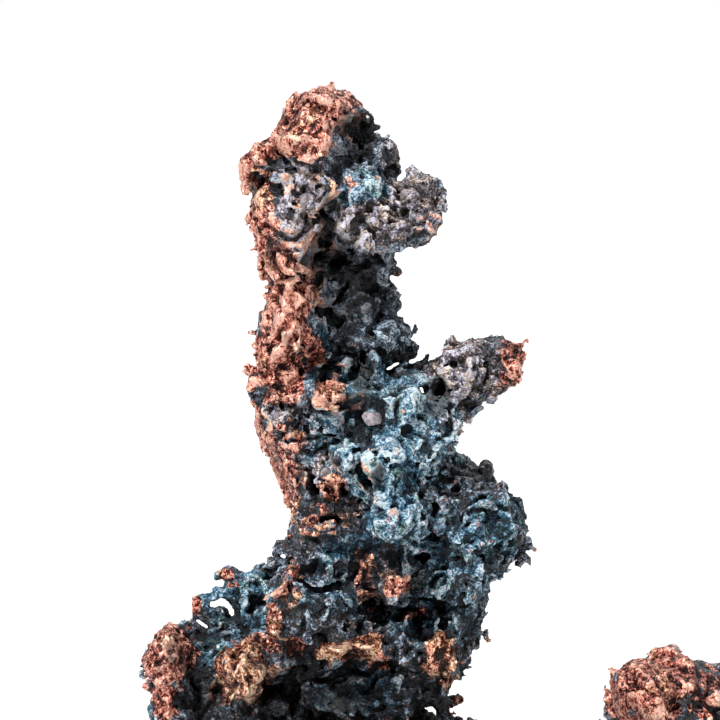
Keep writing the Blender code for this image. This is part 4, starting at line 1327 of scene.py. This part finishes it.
# what shows of each coat, how it wears on crests, how far the painted shade reaches into sunk and deep places
# and how dark it goes, and what the skin's surface is like under it
finish = {
    "pale": 0.85, "paleWear": 0.3, "blue": 0.9, "blueWear": 0.1, "copperWear": 0.5, "paleOverCopper": -0.3,
    "flecks": (0.66, 0.71), "fleckCrest": (0.1, 0.3), "sunk": (-1.9, -0.6), "deep": (-6.0, -3.4),
    "shadow": 0.93, "metal": 0.7, "bump": 0.13, "foilBump": 2.4, "roughCrust": 0.45, "roughBlue": 0.7,
    "roughCopper": 0.36, "shineCrust": 0.5, "shineBlue": 0.3,
}


def skinMaterial():
    # crust, pale and blue coats, then bare copper, each with the same painted crest light and crease shade,
    # then painted shade darkening the hollows towards black
    material, tree, shader = newMaterial("nugget skin")
    place = placeNode(tree)
    grain = addNode(tree, "ShaderNodeGroup", node_tree=grainGroup())
    plug(tree, grain.inputs["Place"], place)
    height, chance, patch, speckle = (grain.outputs[n] for n in ("Height", "Tone", "Patch", "Speckle"))
    # foil runs in upright wrinkles, finer than crust
    drawn = addNode(tree, "ShaderNodeVectorMath", operation="MULTIPLY")
    plug(tree, drawn.inputs[0], place)
    drawn.inputs[1].default_value = (1.0, 1.0, 0.5)
    wrinkle = noiseNode(tree, drawn.outputs[0], 1.3, 4.0, 0.62, 0.8)
    fold = creaseNode(tree, drawn.outputs[0], 1.9, 0.10, 2.0, 1.0)
    wrinkle = plusTimes(tree, wrinkle, mathNode(tree, "SUBTRACT", fold, 0.4), 0.16)
    edge = wearGroup()
    raised = attributeNode(tree, "raised")
    broad = noiseNode(tree, place, 0.42, 2.0, 0.5)
    patchy = noiseNode(tree, place, 0.9, 3.0, 0.6)
    breakUp = mixValue(tree, 0.35, patchy, speckle)
    patterns = {
        "broad": broad,
        "mottled": plusTimes(tree, patchy, patch, 0.15),
        "golden": plusTimes(tree, broad, attributeNode(tree, "gold"), 0.30),
        "dull": plusTimes(tree, noiseNode(tree, place, 0.75, 3.0, 0.6), raised, -0.12),
    }

    def coatMask(share, wear):
        # a coat's painted share with its true edge
        node = addNode(tree, "ShaderNodeGroup", node_tree=edge)
        for label, value in (("Share", share), ("Speckle", breakUp), ("Raised", raised), ("Wear", wear)):
            plug(tree, node.inputs[label], value)
        return node.outputs["Mask"]

    def coat(name, tone):
        # a coat's own colour, mottled with its others
        colour = toneRamp(tree, tone, coats[name])
        for other, (pattern, begins, full, strength) in mottles[name].items():
            share = times(tree, ramp(tree, patterns[pattern], begins, full), strength)
            colour = mixColour(tree, share, colour, toneRamp(tree, tone, coats[other]))
        return colour

    # painted light on crests and crinkle rims, painted shade in creases and cracks, and a tone that differs by
    # grain
    tone = tones["base"]
    for name, source in (("crest", raised), ("swell", attributeNode(tree, "bulge"))):
        low, high, share = tones[name]
        tone = plusTimes(tree, tone, ramp(tree, source, low, high, "LINEAR"), share)
    cracks = creaseNode(tree, place, 0.75, 0.06, 2.0, 0.8)
    for name, source in (("height", height), ("cracks", cracks), ("light", attributeNode(tree, "light"))):
        tone = plusTimes(tree, tone, source, tones[name])
    crustTone = plusTimes(tree, mathNode(tree, "ADD", tone, tones["crust"]), chance, tones["chance"])
    # copper's tone: painted light on wrinkle highs and painted shade in their lows, over the shared tone
    foilTone = plusTimes(tree, tones["foil"], wrinkle, tones["wrinkle"])
    foilTone = plusTimes(tree, foilTone, tone, tones["foilTone"])

    pale = attributeNode(tree, "pale")
    paleMask = coatMask(pale, finish["paleWear"])
    paleShare = times(tree, paleMask, finish["pale"])
    colour = mixColour(tree, paleShare, coat("oxide", crustTone), coat("lavender", crustTone))
    blueMask = coatMask(attributeNode(tree, "blue"), finish["blueWear"])
    colour = mixColour(tree, times(tree, blueMask, finish["blue"]), colour, coat("azure", crustTone))
    copperShare = plusTimes(tree, attributeNode(tree, "copper"), pale, finish["paleOverCopper"])
    flecks = ramp(tree, noiseNode(tree, place, 1.1, 2.0, 0.5), *finish["flecks"])
    flecks = times(tree, flecks, ramp(tree, raised, *finish["fleckCrest"]))
    copperMask = mathNode(tree, "MAXIMUM", coatMask(copperShare, finish["copperWear"]), flecks)
    colour = mixColour(tree, copperMask, colour, coat("copper", foilTone))

    # painted shade: skin sunk in creases, deep in hollows or under the hollow shade patches goes towards black
    # and loses its metal
    sunk = mathNode(tree, "SUBTRACT", 1.0, ramp(tree, attributeNode(tree, "depth"), *finish["sunk"]))
    deep = mathNode(tree, "SUBTRACT", 1.0, ramp(tree, attributeNode(tree, "hollow"), *finish["deep"]))
    hollow = mathNode(tree, "MAXIMUM", attributeNode(tree, "dark"), mathNode(tree, "MAXIMUM", sunk, deep))
    hollow = times(tree, hollow, finish["shadow"])
    colour = mixColour(tree, hollow, colour, coats["oxide"][0][1])

    metal = times(tree, copperMask, mathNode(tree, "SUBTRACT", 1.0, hollow))
    relief = mixValue(tree, copperMask, height, times(tree, wrinkle, finish["foilBump"]))
    plain = mixValue(tree, blueMask, finish["roughCrust"], finish["roughBlue"])
    plug(tree, shader.inputs["Base Color"], colour)
    plug(tree, shader.inputs["Metallic"], times(tree, metal, finish["metal"]))
    plug(tree, shader.inputs["Roughness"], mixValue(tree, copperMask, plain, finish["roughCopper"]))
    plug(tree, shader.inputs["Specular IOR Level"],
         mixValue(tree, blueMask, finish["shineCrust"], finish["shineBlue"]))
    plug(tree, shader.inputs["Normal"], bumpNode(tree, relief, finish["bump"], 1.0))
    return material


# milky quartz: its dull and clear colours and its cracks
milk = {
    "dull": (0.17, 0.145, 0.165), "clear": (0.46, 0.40, 0.43), "crack": (0.07, 0.05, 0.055), "cracks": 0.75,
    "roughness": 0.42, "index": 1.54, "glow": 0.12, "bump": 0.15, "bumpStrength": 0.8,
}


def quartzMaterial():
    material, tree, shader = newMaterial("milky quartz")
    place = placeNode(tree)
    clouds = noiseNode(tree, place, 1.3, 4.0, 0.65)
    cracks = creaseNode(tree, place, 1.2, 0.03, 2.0, 0.8)
    colour = mixColour(tree, ramp(tree, clouds, 0.35, 0.65), milk["dull"], milk["clear"])
    colour = mixColour(tree, times(tree, cracks, milk["cracks"]), colour, milk["crack"])
    plug(tree, shader.inputs["Base Color"], colour)
    for label, name in (("Roughness", "roughness"), ("IOR", "index"), ("Transmission Weight", "glow")):
        shader.inputs[label].default_value = milk[name]
    height = noiseNode(tree, place, 2.2, 4.0, 0.65)
    plug(tree, shader.inputs["Normal"], bumpNode(tree, height, milk["bump"], milk["bumpStrength"]))
    return material


# the floor, the sky's glow on the piece, and the suns: turn and lift in degrees, power, softness in degrees
stage = {
    "floorSize": 6.0, "floorColour": (0.86, 0.86, 0.86), "floorRoughness": 0.9, "floorGap": 0.0002,
    "skyGlow": 0.14,
    "suns": {"key": (-38.0, 52.0, 4.6, 12.0), "fill": (40.0, 20.0, 0.6, 30.0), "rim": (170.0, 40.0, 0.9, 20.0)},
}


def buildStage():
    half = stage["floorSize"] / 2
    mesh = bpy.data.meshes.new("floor")
    corners = [(-half, -half, 0), (half, -half, 0), (half, half, 0), (-half, half, 0)]
    mesh.from_pydata(corners, [], [(0, 1, 2, 3)])
    floor = addObject("floor", mesh)
    floor.location.z = -stage["floorGap"]
    material, _, shader = newMaterial("floor")
    shader.inputs["Base Color"].default_value = (*stage["floorColour"], 1)
    shader.inputs["Roughness"].default_value = stage["floorRoughness"]
    mesh.materials.append(material)

    # the sky is white to the camera and dim to the piece
    world = bpy.data.worlds.new("studio")
    world.use_nodes = True
    tree = world.node_tree
    glow = tree.nodes["Background"]
    glow.inputs["Color"].default_value = (1, 1, 1, 1)
    path = addNode(tree, "ShaderNodeLightPath")
    plug(tree, glow.inputs["Strength"], mixValue(tree, path.outputs["Is Camera Ray"], stage["skyGlow"], 1.0))
    bpy.context.scene.world = world

    for name, (turn, lift, power, soft) in stage["suns"].items():
        lamp = bpy.data.lights.new(name, "SUN")
        lamp.energy = power
        lamp.angle = math.radians(soft)
        obj = addObject(name, lamp)
        a, b = math.radians(turn), math.radians(lift)
        toward = Vector((math.sin(a) * math.cos(b), -math.cos(a) * math.cos(b), math.sin(b)))
        obj.rotation_euler = toward.to_track_quat("Z", "Y").to_euler()
        obj.location = toward


def buildCamera():
    # a lens that spans the frame's width at the target's distance
    lens = bpy.data.cameras.new("camera")
    lens.sensor_width = 36.0
    lens.lens = lens.sensor_width * camera["distance"] / camera["frameWidth"]
    lens.clip_start, lens.clip_end = 0.01, 20.0
    obj = addObject("camera", lens)
    back = Vector((0, -math.cos(cameraLift), math.sin(cameraLift)))
    obj.location = Vector(camera["target"]) * millimetre + back * camera["distance"] * millimetre
    obj.rotation_euler = back.to_track_quat("Z", "Y").to_euler()
    bpy.context.scene.camera = obj


skinCoat = skinMaterial()
for obj in buildNugget():
    obj.data.materials.append(skinCoat)
    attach(obj, "root")
    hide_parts("copper_nugget")
print("nugget built")

quartzCoat = quartzMaterial()
for seed, name in enumerate(quartzNames, seeds["quartz"]):
    obj = buildQuartz(name, seed)
    obj.data.materials.append(quartzCoat)
    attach(obj, "root")
    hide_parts(name)
print("quartz built")

buildStage()
buildCamera()
bpy.context.scene.view_settings.view_transform = "Standard"
